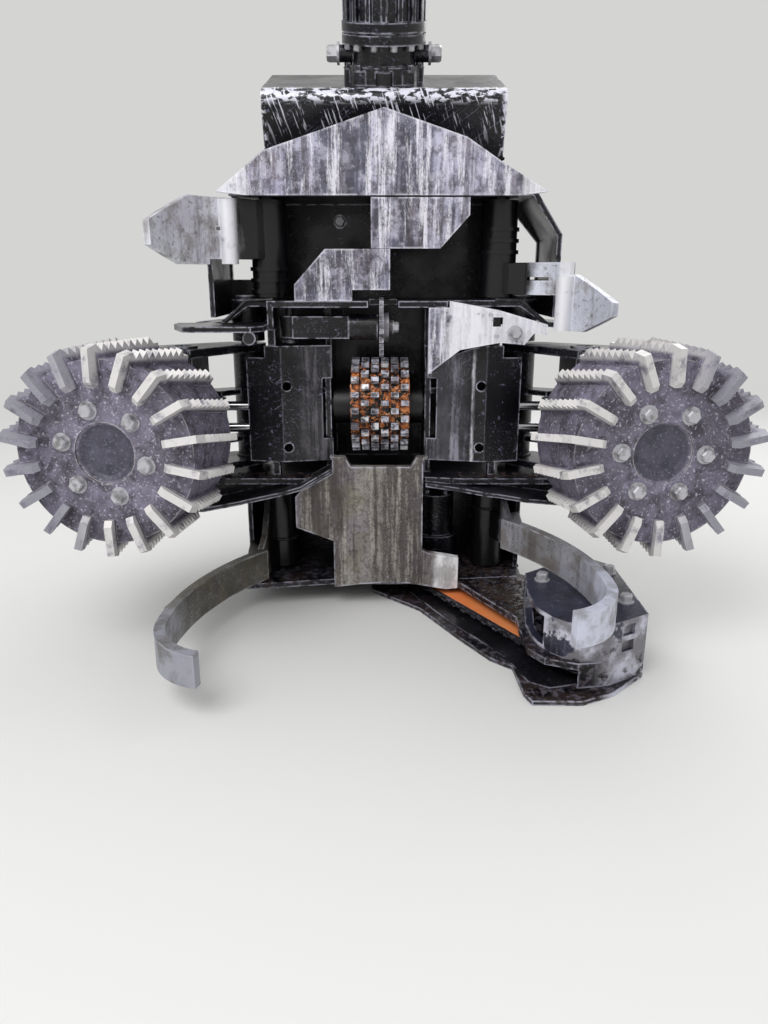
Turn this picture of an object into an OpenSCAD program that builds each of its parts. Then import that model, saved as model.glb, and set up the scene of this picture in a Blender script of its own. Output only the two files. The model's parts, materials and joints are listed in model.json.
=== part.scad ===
// Harvester head: the felling, feeding and cross-cutting tool that hangs from a
// forestry crane. Millimetres, +Z up, the trunk stands in front of the head (-Y).

/* [Frame] */
// Thickness of the frame's wall plates
wall_t = 12; // [8:1:16]
// Thickness of the decks that carry the pins
deck_t = 15; // [12:1:20]
// Thickness of the wear plates that the trunk slides on
rub_t = 20; // [12:1:24]
// Depth from the rub face to the back wall
pocket_depth = 280; // [272:1:300]
// Underside of the base deck
base_z = 50; // [46:1:54]
// Underside of the low deck
low_z = 325; // [318:1:330]
// Underside of the mid deck
mid_z = 750; // [746:1:756]
// Underside of the roof deck
roof_z = 1000; // [996:1:1010]
// Half width of the upper housing
housing_hw = 420; // [410:1:430]
// Half width of the lower housing
lower_hw = 362; // [350:1:370]
// Clear space between the rear box and the arms of the tilt link
link_clear = 30; // [22:1:40]
// Depth of the rear box behind the back wall
rear_depth = 165; // [140:1:180]

/* [Roof plate] */
// Height of the roof plate's peak above the ground
peak_z = 1176; // [1150:1:1190]
// Half width of the roof plate at its foot
roof_hw = 372; // [360:1:385]

/* [Front pillar] */
// Left edge of the pillar
pillar_left = 128; // [120:1:132]
// Right edge of the pillar
pillar_right = 97; // [90:1:105]
// Top of the pillar, just under the centre roller
pillar_top = 386; // [370:1:386]

/* [Knives] */
// Distance of the knife pins from the middle
knife_pin_x = 280; // [270:1:290]
// Distance of the knife pins behind the rub face
knife_pin_y = 120; // [115:1:125]
// Diameter of the knife pins
knife_pin_d = 44; // [36:1:50]
// Thickness of the upper knives
upper_knife_t = 18; // [14:1:20]
// Thickness of the lower knives
lower_knife_t = 22; // [16:1:24]
// Height of the left upper knife's band
left_upper_h = 135; // [110:1:140]
// Height of the right upper knife's band
right_upper_h = 74; // [60:1:78]
// Height of the lower knives
lower_knife_h = 78; // [70:1:79]
// Diameter of the worn round bar on each upper knife
wear_bar_d = 40; // [30:1:44]

/* [Feed arms] */
// Distance of the arm pins from the middle
arm_pin_x = 345; // [342:1:348]
// Distance of the arm pins behind the rub face
arm_pin_y = 140; // [138:1:142]
// Diameter of the arm pins
arm_pin_d = 40; // [34:1:44]
// Thickness of the arms' plates
arm_t = 20; // [14:1:20]
// Diameter of the twin feed cylinders' rods
feed_rod_d = 24; // [20:1:26]
// Outer diameter of the twin feed cylinders' barrels
feed_barrel_d = 40; // [36:1:42]

/* [Feed rollers] */
// Distance of each roller's face from the middle
roller_x = 584; // [582:1:588]
// Distance of the roller's face in front of the rub face
roller_y = 300; // [298:1:304]
// Height of the roller's axis
roller_z = 466; // [463:1:467]
// Outward splay of the roller's axis when open
roller_splay = 8; // [7:0.5:9]
// Outer diameter of the drum
drum_d = 392; // [380:1:400]
// Wall of the drum
drum_wall = 14; // [10:1:18]
// Length of the drum
drum_len = 228; // [220:1:230]
// Number of blades around the drum
blade_count = 18; // [14:1:20]
// Radius to the blades' tips
blade_r = 226; // [216:1:226]
// Thickness of a blade
blade_t = 16; // [10:1:18]
// How far the blades stand proud of the drum's face
blade_proud = 32; // [20:1:34]

/* [Centre roller] */
// Distance of the centre roller's axis behind the rub face
centre_y = 98; // [98:1:104]
// Height of the centre roller's axis
centre_z = 507; // [504:1:508]
// Radius to the studs' tips
stud_r = 118; // [112:1:118]
// Number of stud rows
stud_rows = 6; // [5:1:7]
// Studs around one row
stud_count = 18; // [14:1:20]

/* [Measuring wheel] */
// Radius to the wheel's teeth
wheel_r = 70; // [62:1:71]
// Thickness of the wheel's rim
wheel_t = 10; // [6:1:12]
// Height of the wheel's axle
wheel_z = 703; // [702:1:706]

/* [Saw] */
// Length of the guide bar from its pivot to its nose
bar_len = 574; // [540:1:578]
// Width of the guide bar
bar_w = 84; // [70:1:92]
// Thickness of the guide bar
bar_t = 6; // [4:0.5:7]
// Distance of the saw's pivot behind the rub face
saw_y = 84; // [82:1:88]
// Distance of the saw's pivot right of the middle
saw_x = 140; // [136:1:144]
// Height of the saw box's end block
block_h = 148; // [140:1:149]

/* [Tilt link] */
// Height of the tilt pivot
tilt_z = 600; // [595:1:606]
// Distance of the tilt pivot behind the rub face
tilt_y = 492; // [488:1:500]
// Forward lean of the link at rest
link_lean = 19; // [17:0.5:20]
// Width of the link over its arms
link_w = 580; // [560:1:600]
// Thickness of the link's arms
link_arm_t = 24; // [18:1:26]
// Height of the link's top above its pivot, along the link
link_h = 720; // [700:1:722]
// Height of the box at the top of the link
link_box_h = 150; // [120:1:156]
// Depth of the link's box
link_d = 270; // [250:1:280]
// Diameter of the tilt pins
tilt_pin_d = 60; // [50:1:66]

/* [Rotator] */
// Diameter of the rotator's body
rotator_d = 196; // [180:1:210]
// Bore of the crane pin
crane_pin_d = 50; // [40:1:55]

/* [Hidden] */
$fn = 48;

run = 0.3;          // running gap around a pin, on the radius
gap = 6;            // clear space between moving plates
seat = 0.3;         // gap where a moving end face meets its seat
base_top = base_z + deck_t;
low_top = low_z + deck_t;
mid_top = mid_z + deck_t;
roof_top = roof_z + deck_t;
back_y = pocket_depth;
rear_hw = link_w / 2 - link_arm_t - link_clear;
rear_y = back_y + wall_t + rear_depth;
knife_hub_r = knife_pin_d / 2 + 22;
arm_hub_r = arm_pin_d / 2 + 22;
open_y = 50;        // front edge of the housing's walls
bay_hw_l = 146;     // centre roller's bay, left and right
bay_hw_r = 116;

// Curves of a lower knife in plan, about its pin: the arm, then the hook at its end
low_r = 663;
low_c = [-209 - knife_pin_x, -425 - knife_pin_y];
hook_r = 130;
hook_c = [low_c[0] + low_r - hook_r, -438 - knife_pin_y];
hook_end = 76;

// Eye of the tilt levers behind the link's pivot, before the link leans
tilt_lever = [100, 110];
lever_d = 56;
lever_boss_r = 46;

// How far the lower knives reach forward and the tilt levers back. The rub face
// lies head_y from the origin, so that the part stands centred over it.
reach_front = (hook_r + lower_knife_t / 2) * sin(hook_end) - hook_c[1] - knife_pin_y;
reach_back = tilt_y + tilt_lever[0] * cos(link_lean) - tilt_lever[1] * sin(link_lean)
    + lever_boss_r;
head_y = (reach_front - reach_back) / 2;

module place() { translate([0, head_y, 0]) children(); }
module turn_left() { mirror([1, 0, 0]) children(); }

// A vertical plate in the front view: outline in x and z, from y0 back to y1.
module front_plate(outline, y0, y1) {
    translate([0, y1, 0]) rotate([90, 0, 0]) linear_extrude(y1 - y0) polygon(outline);
}

// A level plate in the plan view: outline in x and y, from z0 up to z1.
module deck_plate(outline, z0, z1) {
    translate([0, 0, z0]) linear_extrude(z1 - z0) polygon(outline);
}

// A curved wall in plan: arc of radius r about c, from angle a0 to a1.
module arc_wall(c, r, a0, a1, t, z0, z1) {
    translate([c[0], c[1], z0]) rotate([0, 0, a0])
        rotate_extrude(angle = a1 - a0, $fn = 96)
            translate([r - t / 2, 0]) square([t, z1 - z0]);
}

module upright(x, y, d, z0, z1) {
    translate([x, y, z0]) cylinder(d = d, h = z1 - z0);
}

// Upper housing
slope_x = housing_hw - 68;
shoulder_z = 915;

module back_wall() color("#1d1d20") place() difference() {
    front_plate([[-lower_hw, 0], [lower_hw, 0], [lower_hw, low_top], [300, low_top + 40],
        [300, mid_z - 60], [housing_hw, mid_z - 30], [housing_hw, shoulder_z],
        [slope_x, roof_z], [-slope_x, roof_z], [-housing_hw, shoulder_z],
        [-housing_hw, mid_z - 30], [-300, mid_z - 60], [-300, low_top + 40],
        [-lower_hw, low_top]], back_y, back_y + wall_t);
    for (side = [0, 1]) mirror([side, 0, 0])
        front_plate([[308, 812], [housing_hw - wall_t - 4, 812], [housing_hw - wall_t - 4, 905],
            [slope_x - 12, 978], [308, 978]], back_y - 1, back_y + wall_t + 1);
}

module upper_housing() color("#1b1b1e") place() difference() {
    front_plate([[-housing_hw, mid_top - 40], [-housing_hw, shoulder_z], [-slope_x, roof_top],
        [slope_x, roof_top], [housing_hw, shoulder_z], [housing_hw, mid_top - 40],
        [housing_hw - wall_t, mid_top - 40], [housing_hw - wall_t, shoulder_z - 5],
        [slope_x - 5, roof_z], [5 - slope_x, roof_z], [wall_t - housing_hw, shoulder_z - 5],
        [wall_t - housing_hw, mid_top - 40]], open_y, back_y);
    for (x = [-knife_pin_x, knife_pin_x])
        upright(x, knife_pin_y, knife_pin_d, roof_z - 1, roof_top + 1);
    // relief for the left knife's arms
    translate([-396, open_y - 1, 940]) cube([60, 48, roof_z - 940]);
}

// The fixed top knife with its gussets
module roof_plate() color("#8d8c95") place() {
    front_plate([[-roof_hw - 9, roof_z + 4], [-323, 1048], [-271, 1089], [-186, 1116],
        [0, peak_z], [186, 1116], [271, 1062], [roof_hw, roof_z + 4], [310, roof_z - 4],
        [-310, roof_z - 4]], 0, rub_t);
    for (x = [-250, -90, 90, 250]) translate([x - 5, 0, 0])
        deck_rib(rub_t, open_y, roof_z, 1064 - 0.1 * abs(x));
    front_plate([[-310, roof_z], [310, roof_z], [310, roof_top], [-310, roof_top]],
        rub_t, open_y);
}

module deck_rib(y0, y1, z0, z1) {
    rotate([90, 0, 90]) linear_extrude(10) polygon([[y0, z0], [y1, z0], [y1, z0 + 18], [y0, z1]]);
}

// Mid deck: level in the middle, folded down to the wings under the housing's walls
fold_x = housing_hw - 20;

module mid_deck() color("#202023") place() {
    difference() {
        union() {
            front_plate([[-500, 704], [-fold_x, 714], [65 - fold_x, mid_top],
                [fold_x - 65, mid_top], [fold_x, 714], [500, 704], [500, 692], [fold_x + 2, 702],
                [fold_x - 70, mid_z], [70 - fold_x, mid_z], [-fold_x - 2, 702], [-500, 692]],
                62, back_y);
            deck_plate([[-262, 0], [150, 0], [150, 63], [-262, 63]], mid_z, mid_top);
            for (x = [-arm_pin_x, arm_pin_x]) upright(x, arm_pin_y, 80, arm_top + gap, mid_top);
        }
        // slot for the measuring wheel
        deck_plate([[-38, -1], [34, -1], [34, 170], [-38, 170]], mid_z - 1, mid_top + 1);
        for (x = [-knife_pin_x, knife_pin_x])
            upright(x, knife_pin_y, knife_pin_d, mid_z - 1, mid_top + 1);
        for (x = [-arm_pin_x, arm_pin_x])
            upright(x, arm_pin_y, arm_pin_d, arm_top, mid_top + 1);
        for (side = [-1, 1]) translate([side * 505, 175, 600]) cylinder(r = 60, h = 200);
    }
    // left wing in front, with its step down
    deck_plate([[-500, 10], [-455, -95], [-300, -100], [-276, -60], [-276, 63], [-500, 63]],
        699, 712);
    front_plate([[-276, 699], [-262, 699], [-262, mid_top], [-276, mid_top]], 0, 63);
}

// Low deck, with a thin wing on each side of the trunk that slopes down outwards. The
// wings stay behind the swing of the feed rollers and in front of the knives' hubs.
wing_t = 10;
wing_rim = [[104, -20], [190, -48], [250, -76], [345, -92], [440, -76], [462, -58], [462, 10],
    [430, 34], [90, 34]];
// how each wing lies above the deck's underside: across, height
wing_left = [[128, 34], [205, -7], [335, -30], [470, -62]];
wing_right = [[97, -6], [277, -18], [412, -36], [470, -39]];

module wing(line) {
    steps = len(line) - 1;
    intersection() {
        deck_plate(wing_rim, low_z - 90, low_z + 90);
        front_plate([for (i = [0 : steps]) line[i] + [0, low_z], for (i = [steps : -1 : 0])
            line[i] + [0, low_z + wing_t]], -120, 80);
    }
    // web that closes the step between the wing and the deck
    front_plate(concat([for (i = [1 : steps - 1]) line[i] + [0, low_z + 3]],
        [[452, line[steps][1] + low_z + 5], [452, low_z - 8], [428, low_z + 4],
            [line[1][0], low_z + 4]]), 12, 22);
}

module low_deck() color("#232326") place() {
    difference() {
        deck_plate([[-182, 0], [-196, -18], [-424, -18], [-438, 10], [-lower_hw, 120],
            [-lower_hw, back_y], [lower_hw, back_y], [lower_hw, 120], [438, 10], [424, -18],
            [196, -18], [104, -4], [98, 0]], low_z, low_top);
        for (x = [-knife_pin_x, knife_pin_x])
            upright(x, knife_pin_y, knife_pin_d, low_z - 1, low_top + 1);
        for (x = [-arm_pin_x, arm_pin_x])
            upright(x, arm_pin_y, arm_pin_d, low_z - 1, low_top + 1);
    }
    turn_left() wing(wing_left);
    wing(wing_right);
}

module base_deck() color("#202023") place() difference() {
    deck_plate([[-pillar_left, 0], [-344, -36], [-lower_hw, -30], [-lower_hw, back_y],
        [lower_hw, back_y], [lower_hw, 20], [190, 0]], base_z, base_top);
    for (x = [-knife_pin_x, knife_pin_x])
        upright(x, knife_pin_y, knife_pin_d, base_z - 1, base_top + 1);
}

module lower_housing() color("#1b1b1e") place() for (side = [-1, 1])
    mirror([side < 0 ? 1 : 0, 0, 0]) {
        translate([lower_hw - wall_t, 90, base_top]) cube([wall_t, back_y - 90, low_z - base_top]);
        translate([lower_hw - wall_t, 190, 0]) cube([wall_t, back_y - 190, base_z]);
    }

// Rear box with the lugs that carry the link and the tilt cylinder
tilt_anchor_z = 78;
tilt_anchor_y = rear_y + 62;
tilt_barrel_d = 92;
tilt_foot_d = 40;
tilt_eye_w = tilt_barrel_d + 6;

module rear_side() {
    difference() {
        rotate([90, 0, 90]) linear_extrude(wall_t + 8)
            polygon([[back_y + wall_t, 0], [rear_y, 0], [rear_y, 500], [rear_y + 60, 545],
                [rear_y + 84, 600], [rear_y + 60, 655], [rear_y, 700], [rear_y - 40, 860],
                [back_y + wall_t, 930]]);
        translate([-1, tilt_y, tilt_z]) rotate([0, 90, 0])
            cylinder(d = tilt_pin_d, h = wall_t + 10);
        translate([-1, back_y + 95, 330]) rotate([0, 90, 0]) cylinder(d = 90, h = wall_t + 10);
        translate([-1, back_y + 95, 170]) rotate([0, 90, 0]) cylinder(d = 70, h = wall_t + 10);
    }
}

module rear_box() color("#1a1a1d") place() {
    translate([rear_hw - wall_t - 8, 0, 0]) rear_side();
    translate([-rear_hw, 0, 0]) rear_side();
    translate([wall_t + 8 - rear_hw, rear_y - wall_t, 0])
        cube([2 * (rear_hw - wall_t - 8), wall_t, 200]);
    for (x = [-tilt_eye_w / 2 - 17, tilt_eye_w / 2 + 1]) translate([x, 0, 0])
        rotate([90, 0, 90]) linear_extrude(16) polygon([[rear_y, 30], [rear_y + 92, 48],
            [rear_y + 92, 108], [rear_y, 160]]);
    translate([-tilt_eye_w / 2 - 22, tilt_anchor_y, tilt_anchor_z]) rotate([0, 90, 0])
        cylinder(d = tilt_foot_d, h = tilt_eye_w + 44);
}

module rear_hatch() color("#242428") place() {
    translate([wall_t + 8 - rear_hw, rear_y - 14, 200])
        cube([2 * (rear_hw - wall_t - 8), 8, 490]);
    translate([wall_t + 8 - rear_hw, rear_y - 14, 688]) rotate([14, 0, 0])
        cube([2 * (rear_hw - wall_t - 8), 8, 170]);
    for (z = [280, 400, 520]) translate([-150, rear_y - 6, z]) cube([300, 14, 14]);
}

module rub_plates() color("#8a8994") place() {
    front_plate([[-30, 882], [130, 882], [196, 954], [196, 992], [-30, 992]], 0, rub_t);
    front_plate([[-210, mid_top], [-75, mid_top], [-75, 790], [14, 790], [14, 881],
        [-137, 881], [-210, 802]], 0, rub_t);
    // hangers to the roof deck and the web behind
    front_plate([[-30, 790], [-14, 790], [-14, roof_z], [-30, roof_z]], rub_t, back_y);
}

module front_pillar() color("#6d6659") place()
    front_plate([[-pillar_left, base_z], [-60, base_z + 8], [0, base_z + 12],
        [70, base_z + 10], [160, base_z - 6], [190, base_z - 3], [190, 130],
        [112, 144], [pillar_right, 152], [pillar_right, low_top + 46], [108, pillar_top + 10],
        [80, pillar_top + 8], [66, pillar_top - 16], [-82, pillar_top - 16],
        [-96, pillar_top + 8], [-pillar_left - 6, pillar_top + 10],
        [-pillar_left, low_top + 46], [-pillar_left, low_top + 14], [-208, 308],
        [-222, 292], [-222, 212], [-pillar_left, 176]], -rub_t, 0);

// Bent cover plate beside the centre roller; ridge towards the trunk
cover_z0 = 374;
cover_z1 = 660;
module cover(inner_x, stay_top, arched) {
    difference() {
        deck_plate([[inner_x, 42], [250, 14], [336, 28], [336, 37], [250, 23], [inner_x, 51]],
            cover_z0, cover_z1);
        // hollow round the roller's hub
        translate([inner_x - 22, 0, 430]) cube([46, 80, 150]);
        for (z = [410, 563]) translate([238, -10, z]) rotate([-90, 0, 0])
            cylinder(d = 22, h = 60);
        // corner beside the arm's top plate
        translate([290, 0, 632]) cube([50, 80, 40]);
        if (arched) translate([0, 80, 0]) rotate([90, 0, 0]) linear_extrude(90)
            polygon([[inner_x - 1, 610], [inner_x + 36, 622], [inner_x + 70, 640],
                [inner_x + 108, 654], [inner_x + 150, cover_z1 + 1], [inner_x - 1, cover_z1 + 1]]);
    }
    // stays to the decks
    for (z = [[low_top, cover_z0 + 30], [cover_z1 - 30, stay_top]]) translate([262, 21, z[0]])
        cube([18, 28, z[1] - z[0]]);
}
module cover_left() color("#26262a") place() turn_left() cover(128, 699, false);
module cover_right() color("#26262a") place() cover(106, 728, true);

module apron() color("#9a9aa6") place() {
    difference() {
        front_plate([[106, 594], [182, 652], [277, 669], [336, 664], [356, 690], [388, 687],
            [388, 711], [276, 743], [155, mid_top], [155, mid_z], [106, mid_z]], 0, 12);
        translate([258, -1, 706]) cube([24, 14, 22]);
    }
    front_plate([[155, mid_z], [274, 731], [388, 702], [388, 711], [276, 743],
        [155, mid_top]], 12, 62);
    translate([106, 12, 594]) cube([10, 26, mid_z - 594]);
}

// Bearing plates that hold the centre roller's axle
module roller_bay() color("#222226") place() {
    for (x = [-bay_hw_l, bay_hw_r - 14]) translate([x, 0, 0]) difference() {
        rotate([90, 0, 90]) linear_extrude(14) polygon([[52, low_top], [back_y, low_top],
            [back_y, mid_z], [104, mid_z], [104, 652], [52, 600]]);
        translate([-1, centre_y, centre_z]) rotate([0, 90, 0])
            cylinder(d = 60, h = 16);
    }
    translate([-bay_hw_l + 14, 250, low_top]) cube([bay_hw_l + bay_hw_r - 28, 30, 120]);
    // ears for the trunnions of the feed cylinders
    for (side = [-1, 1]) for (z = [feed_z[0] - 48, feed_z[1] + 34]) difference() {
        hw = side < 0 ? bay_hw_l : bay_hw_r;
        mirror([side < 0 ? 1 : 0, 0, 0]) deck_plate([[hw - 2, feed_pin[1] - 30],
            [feed_pin[0] + 8, feed_pin[1] - 24], [feed_pin[0] + 22, feed_pin[1]],
            [feed_pin[0] + 8, feed_pin[1] + 24], [hw - 2, feed_pin[1] + 60]], z, z + 14);
        upright(side * feed_pin[0], feed_pin[1], 20 + 2 * run, z - 1, z + 15);
    }
}

// Saw box: floor, upper plate with its worn left edge, and the wall behind the bar
floor_t = 10;
box_rim = [[397, -464], [460, -454], [552, -400], [556, -170], [500, -70], [400, 0]];
box_inner = [[400, -14], [488, -78], [544, -172], [540, -394], [456, -442], [400, -452]];

module saw_box() color("#17171a") place() {
    deck_plate([[-39, 140], [-30, 60], [91, -62], [178, -228], [236, -330], [279, -370],
        [284, -480], [296, -515], [397, -517], [470, -480], [552, -400], [556, -170],
        [500, -70], [400, 0], [330, 60], [260, 120], [160, 205], [-20, 205]], 0, floor_t);
    deck_plate([[192, -1], [190, -16], [306, -237], [303, -295], [304, -355], [306, -393],
        [333, -438], [397, -464], [460, -454], [552, -400], [556, -170], [500, -70], [400, 0],
        [lower_hw + 1, 34], [lower_hw + 1, 20]], base_z, base_top);
    deck_plate(concat(box_rim, box_inner), floor_t, base_z);
}

// Raised block over the parked bar's nose, open on its left, with slots in its front wall
block_rim = [[334, -172], [319, -291], [322, -345], [330, -378], [349, -417], [372, -440], [404, -457]];

module saw_end_block() color("#3a3a40") place() difference() {
    deck_plate(concat(block_rim, [[460, -454], [552, -400], [556, -120], [492, -48]]),
        base_top, block_h);
    deck_plate([[354, -186], [337, -293], [339, -340], [347, -372], [362, -406], [382, -426],
        [408, -440], [457, -437], [536, -390], [540, -130], [490, -76]], base_top - 1, block_h - 10);
    // open side under the left rim
    deck_plate([[300, -392], [352, -392], [372, -200], [300, -200]], base_top + 8, block_h - 10);
    for (z = [88, 124]) translate([506, -427, z]) rotate([0, 0, 30]) cube([34, 20, 24], center = true);
}

module saw_liner() color("#1c1c1f") place()
    deck_plate([[70, 40], [150, -130], [268, -330], [300, -440], [340, -466], [440, -440],
        [530, -380], [536, -180], [470, -80], [330, 20], [180, 40]], floor_t, floor_t + 3);

// Hydraulic saw motor over the pivot, behind the pillar
module saw_motor() color("#2b2b30") place() {
    upright(saw_x, saw_y + 60, 120, base_top, 150);
    upright(saw_x, saw_y + 60, 96, 150, 262);
    translate([saw_x - 60, saw_y + 60, base_top]) cube([120, 90, 60]);
}

module frame_pins() color("#5d5d63") place() {
    for (x = [-knife_pin_x, knife_pin_x]) {
        upright(x, knife_pin_y, knife_pin_d, mid_z, roof_top);
        upright(x, knife_pin_y, knife_pin_d + 26, roof_top, roof_top + 14);
        upright(x, knife_pin_y, knife_pin_d, base_z, low_top);
    }
    for (x = [-arm_pin_x, arm_pin_x]) upright(x, arm_pin_y, arm_pin_d, low_z, mid_top);
    upright(measure_pin[0], measure_pin[1], measure_pin_d, wheel_z - 34, mid_z);
    upright(measure_pin[0], measure_pin[1], 38, wheel_z - 38, wheel_z - 32);
}

// Knives. Each is a hub on its pin, curved arms and a tapered blade.
module knife_bore(z0, z1) {
    upright(0, 0, knife_pin_d + 2 * run, z0 - 1, z1 + 1);
}

// Turns a side view, across and up, to face along the curve at angle a about c.
module across(c, a) {
    translate([c[0], c[1], 0]) rotate([0, 0, a]) rotate([90, 0, 90]) children();
}

// Curve of an upper knife in plan, about its pin
up_r = 420;
up_root = [36, -40];
up_c = [up_root[0] - up_r * cos(61), up_root[1] - up_r * sin(61)];

// Upper knife for the right side, about its pin. Two arms reach to a round wear bar,
// and beyond it the tip tapers to a point.
module upper_knife(hub_z0, hub_z1, z0, z1, tip_z0, tip_z1, bar_a, ring_z) {
    low = min(z0, tip_z0);
    high = max(z1, tip_z1);
    mid = (z0 + z1) / 2;
    difference() {
        union() {
            upright(0, 0, 2 * knife_hub_r, hub_z0, hub_z1);
            for (i = [0 : 2]) upright(0, 0, 2 * knife_hub_r + 10, ring_z + 26 * i, ring_z + 26 * i + 9);
            difference() {
                arc_wall(up_c, up_r, 21, 61, upper_knife_t, low, high);
                if (low < z0)
                    arc_wall(up_c, up_r, 45, 63, 2 * upper_knife_t, low - 1, z0);
                if (high > z1)
                    arc_wall(up_c, up_r, 45, 63, 2 * upper_knife_t, z1, high + 1);
                if (high > tip_z1)
                    arc_wall(up_c, up_r, 19, 40, 2 * upper_knife_t, tip_z1, high + 1);
                // slot between the two arms
                arc_wall(up_c, up_r, 48, 56, 2 * upper_knife_t, mid - 4, mid + 4);
                // taper towards the tip, above and below
                across(up_c, 38) linear_extrude(600)
                    polygon([[9, tip_z1 + 4], [-130, tip_z1 - 62], [-130, high + 4]]);
                across(up_c, 34) linear_extrude(600)
                    polygon([[9, tip_z0 - 4], [-110, tip_z0 + 45], [-110, low - 4]]);
            }
            // root between the hub and the arms
            deck_plate([[-10, -30], [20, -56], [58, -66], [74, -36], [36, 16], [0, 20]], z0 + 2, z1 - 2);
            // worn round bar on the inside of the bend
            translate([up_c[0] + (up_r - 16) * cos(bar_a), up_c[1] + (up_r - 16) * sin(bar_a),
                tip_z0 + 1]) cylinder(d = wear_bar_d, h = tip_z1 - tip_z0 - 5);
        }
        knife_bore(hub_z0, hub_z1);
    }
}

module knife_upper_left() color("#8f909b") place() turn_left()
    translate([knife_pin_x, knife_pin_y, 0])
        upper_knife(mid_top + gap, roof_z - gap, roof_z - gap - left_upper_h, roof_z - gap,
            roof_z - 153, roof_z - gap, 52, mid_top + 16);
module knife_upper_right() color("#a0a1ab") place()
    translate([knife_pin_x, knife_pin_y, 0])
        upper_knife(mid_top + gap, roof_z - gap, mid_top + 13, mid_top + 13 + right_upper_h,
            698, mid_top + 13 + right_upper_h - 28, 41, mid_top + 13 + right_upper_h + 20);

// Lower knife for the right side, about its pin: a long curved arm with a rib behind it,
// and a hook whose tip is cut off above and below
module lower_knife(hub_z0, hub_z1, z0) {
    z1 = z0 + lower_knife_h;
    rib_z = z0 + lower_knife_h / 2;
    difference() {
        union() {
            upright(0, 0, 2 * knife_hub_r, hub_z0, hub_z1);
            arc_wall(low_c, low_r, -2, 39, lower_knife_t, z0, z1);
            arc_wall(hook_c, hook_r, -hook_end, 0, lower_knife_t, z0, z1);
            deck_plate([[-6, -30], [34, -130], [66, -150], [74, -60], [40, 12], [0, 20]], z0 + 2, z1 - 2);
            arc_wall(low_c, low_r + 26, 10, 33, 40, rib_z - 6, rib_z + 6);
            // web from the hub down to the arm
            rotate([0, 0, -73]) rotate([90, 0, 0]) translate([0, 0, -8]) linear_extrude(16)
                polygon([[36, z1 - 22], [138, z1 - 12], [102, z1 + 30], [70, hub_z1 - 32],
                    [36, hub_z1 - 12]]);
        }
        // the tip gets a little lower towards its edge
        across(hook_c, -10) linear_extrude(300)
            polygon([[70, z1 + 1], [-130, z1 - 9], [-130, z1 + 12], [70, z1 + 12]]);
        knife_bore(hub_z0, hub_z1);
    }
}

module knife_lower_left() color("#6f6b5c") place() turn_left()
    translate([knife_pin_x, knife_pin_y, 0])
        lower_knife(base_top + gap, low_z - gap, base_top + gap);
module knife_lower_right() color("#767368") place()
    translate([knife_pin_x, knife_pin_y, 0])
        lower_knife(base_top + gap, low_z - gap, base_top + 2 * gap + lower_knife_h);

// Feed arm for the right side: two plates, a web, an end plate and a cylinder lug
arm_bottom = low_top + 8;
arm_top = 658;
end_y = drum_len + 12;

module roller_frame() {
    translate([roller_x, -roller_y, roller_z]) rotate([0, 0, roller_splay]) children();
}

module feed_arm() {
    difference() {
        union() {
            upright(arm_pin_x, arm_pin_y, 2 * arm_hub_r, arm_bottom, arm_top);
            for (z = [arm_bottom, arm_top - arm_t])
                deck_plate([[arm_pin_x, arm_pin_y + arm_hub_r - 4], [arm_pin_x + 60, arm_pin_y + 30],
                    [600, 30], [652, -39], [448, -67], [arm_pin_x + 34, arm_pin_y - 92],
                    [arm_pin_x - 30, arm_pin_y - 30]], z, z + arm_t);
            // web between the plates
            deck_plate([[feed_eye[0] + 18, feed_eye[1] - 26], [feed_eye[0] + 34, feed_eye[1] - 18],
                [458, -63], [446, -60]], arm_bottom + 5, arm_top - 5);
            roller_frame() translate([-96, end_y, arm_bottom + 4 - roller_z])
                cube([192, 18, arm_top - arm_bottom - 8]);
            // ears over and under the eye of the feed cylinder's rods
            for (z = [feed_z[0] - 40, feed_z[1] + 26]) deck_plate([[arm_pin_x + 20, arm_pin_y - 36],
                [feed_eye[0] - 18, feed_eye[1] - 4], [feed_eye[0] - 8, feed_eye[1] - 18],
                [feed_eye[0] + 12, feed_eye[1] - 16], [feed_eye[0] + 50, feed_eye[1] - 20],
                [feed_eye[0] + 30, feed_eye[1] + 30], [arm_pin_x + 40, arm_pin_y]], z, z + 14);
            upright(feed_eye[0], feed_eye[1], eye_pin_d, feed_z[0] - 32, feed_z[1] + 32);
        }
        upright(arm_pin_x, arm_pin_y, arm_pin_d + 2 * run, arm_bottom - 1, arm_top + 1);
        roller_frame() translate([0, end_y - 1, 0]) rotate([-90, 0, 0])
            cylinder(d = 150, h = 20);
    }
    // hose guard on the top plate
    difference() {
        upright(480, 0, 70, arm_top, arm_top + 4);
        upright(480, 0, 40, arm_top - 1, arm_top + 5);
    }
}
module feed_arm_left() color("#2a2a2e") place() turn_left() feed_arm();
module feed_arm_right() color("#2a2a2e") place() feed_arm();

module feed_motor() roller_frame() rotate([-90, 0, 0]) {
    translate([0, 0, 28 + seat]) cylinder(d = 148, h = end_y - 28 - seat);
    translate([0, 0, end_y]) cylinder(d = 149, h = 18);
    translate([0, 0, end_y + 18]) cylinder(d = 176, h = 16);
    translate([0, 0, end_y + 34]) cylinder(d = 132, h = 62);
}
module feed_motor_left() color("#303036") place() turn_left() feed_motor();
module feed_motor_right() color("#303036") place() feed_motor();

// Bladed feed roller. A blade runs along the drum and stands proud of its face.
blade_teeth = 9;
tooth_len = (drum_len - 24) / blade_teeth;

module blade() {
    translate([0, 0, -blade_t / 2]) linear_extrude(blade_t)
        polygon(concat([[drum_d / 2 - 6, drum_len - 8], [drum_d / 2 - 6, 12], [146, 6],
            [140, -blade_proud + 10], [152, -blade_proud], [blade_r - 8, -blade_proud + 3]],
            [for (i = [0 : blade_teeth - 1]) for (edge = [0, 1])
                [blade_r - 15 * edge, tooth_len * (i + edge * 0.7)]],
            [[blade_r - 14, drum_len - 14]]));
}

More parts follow.
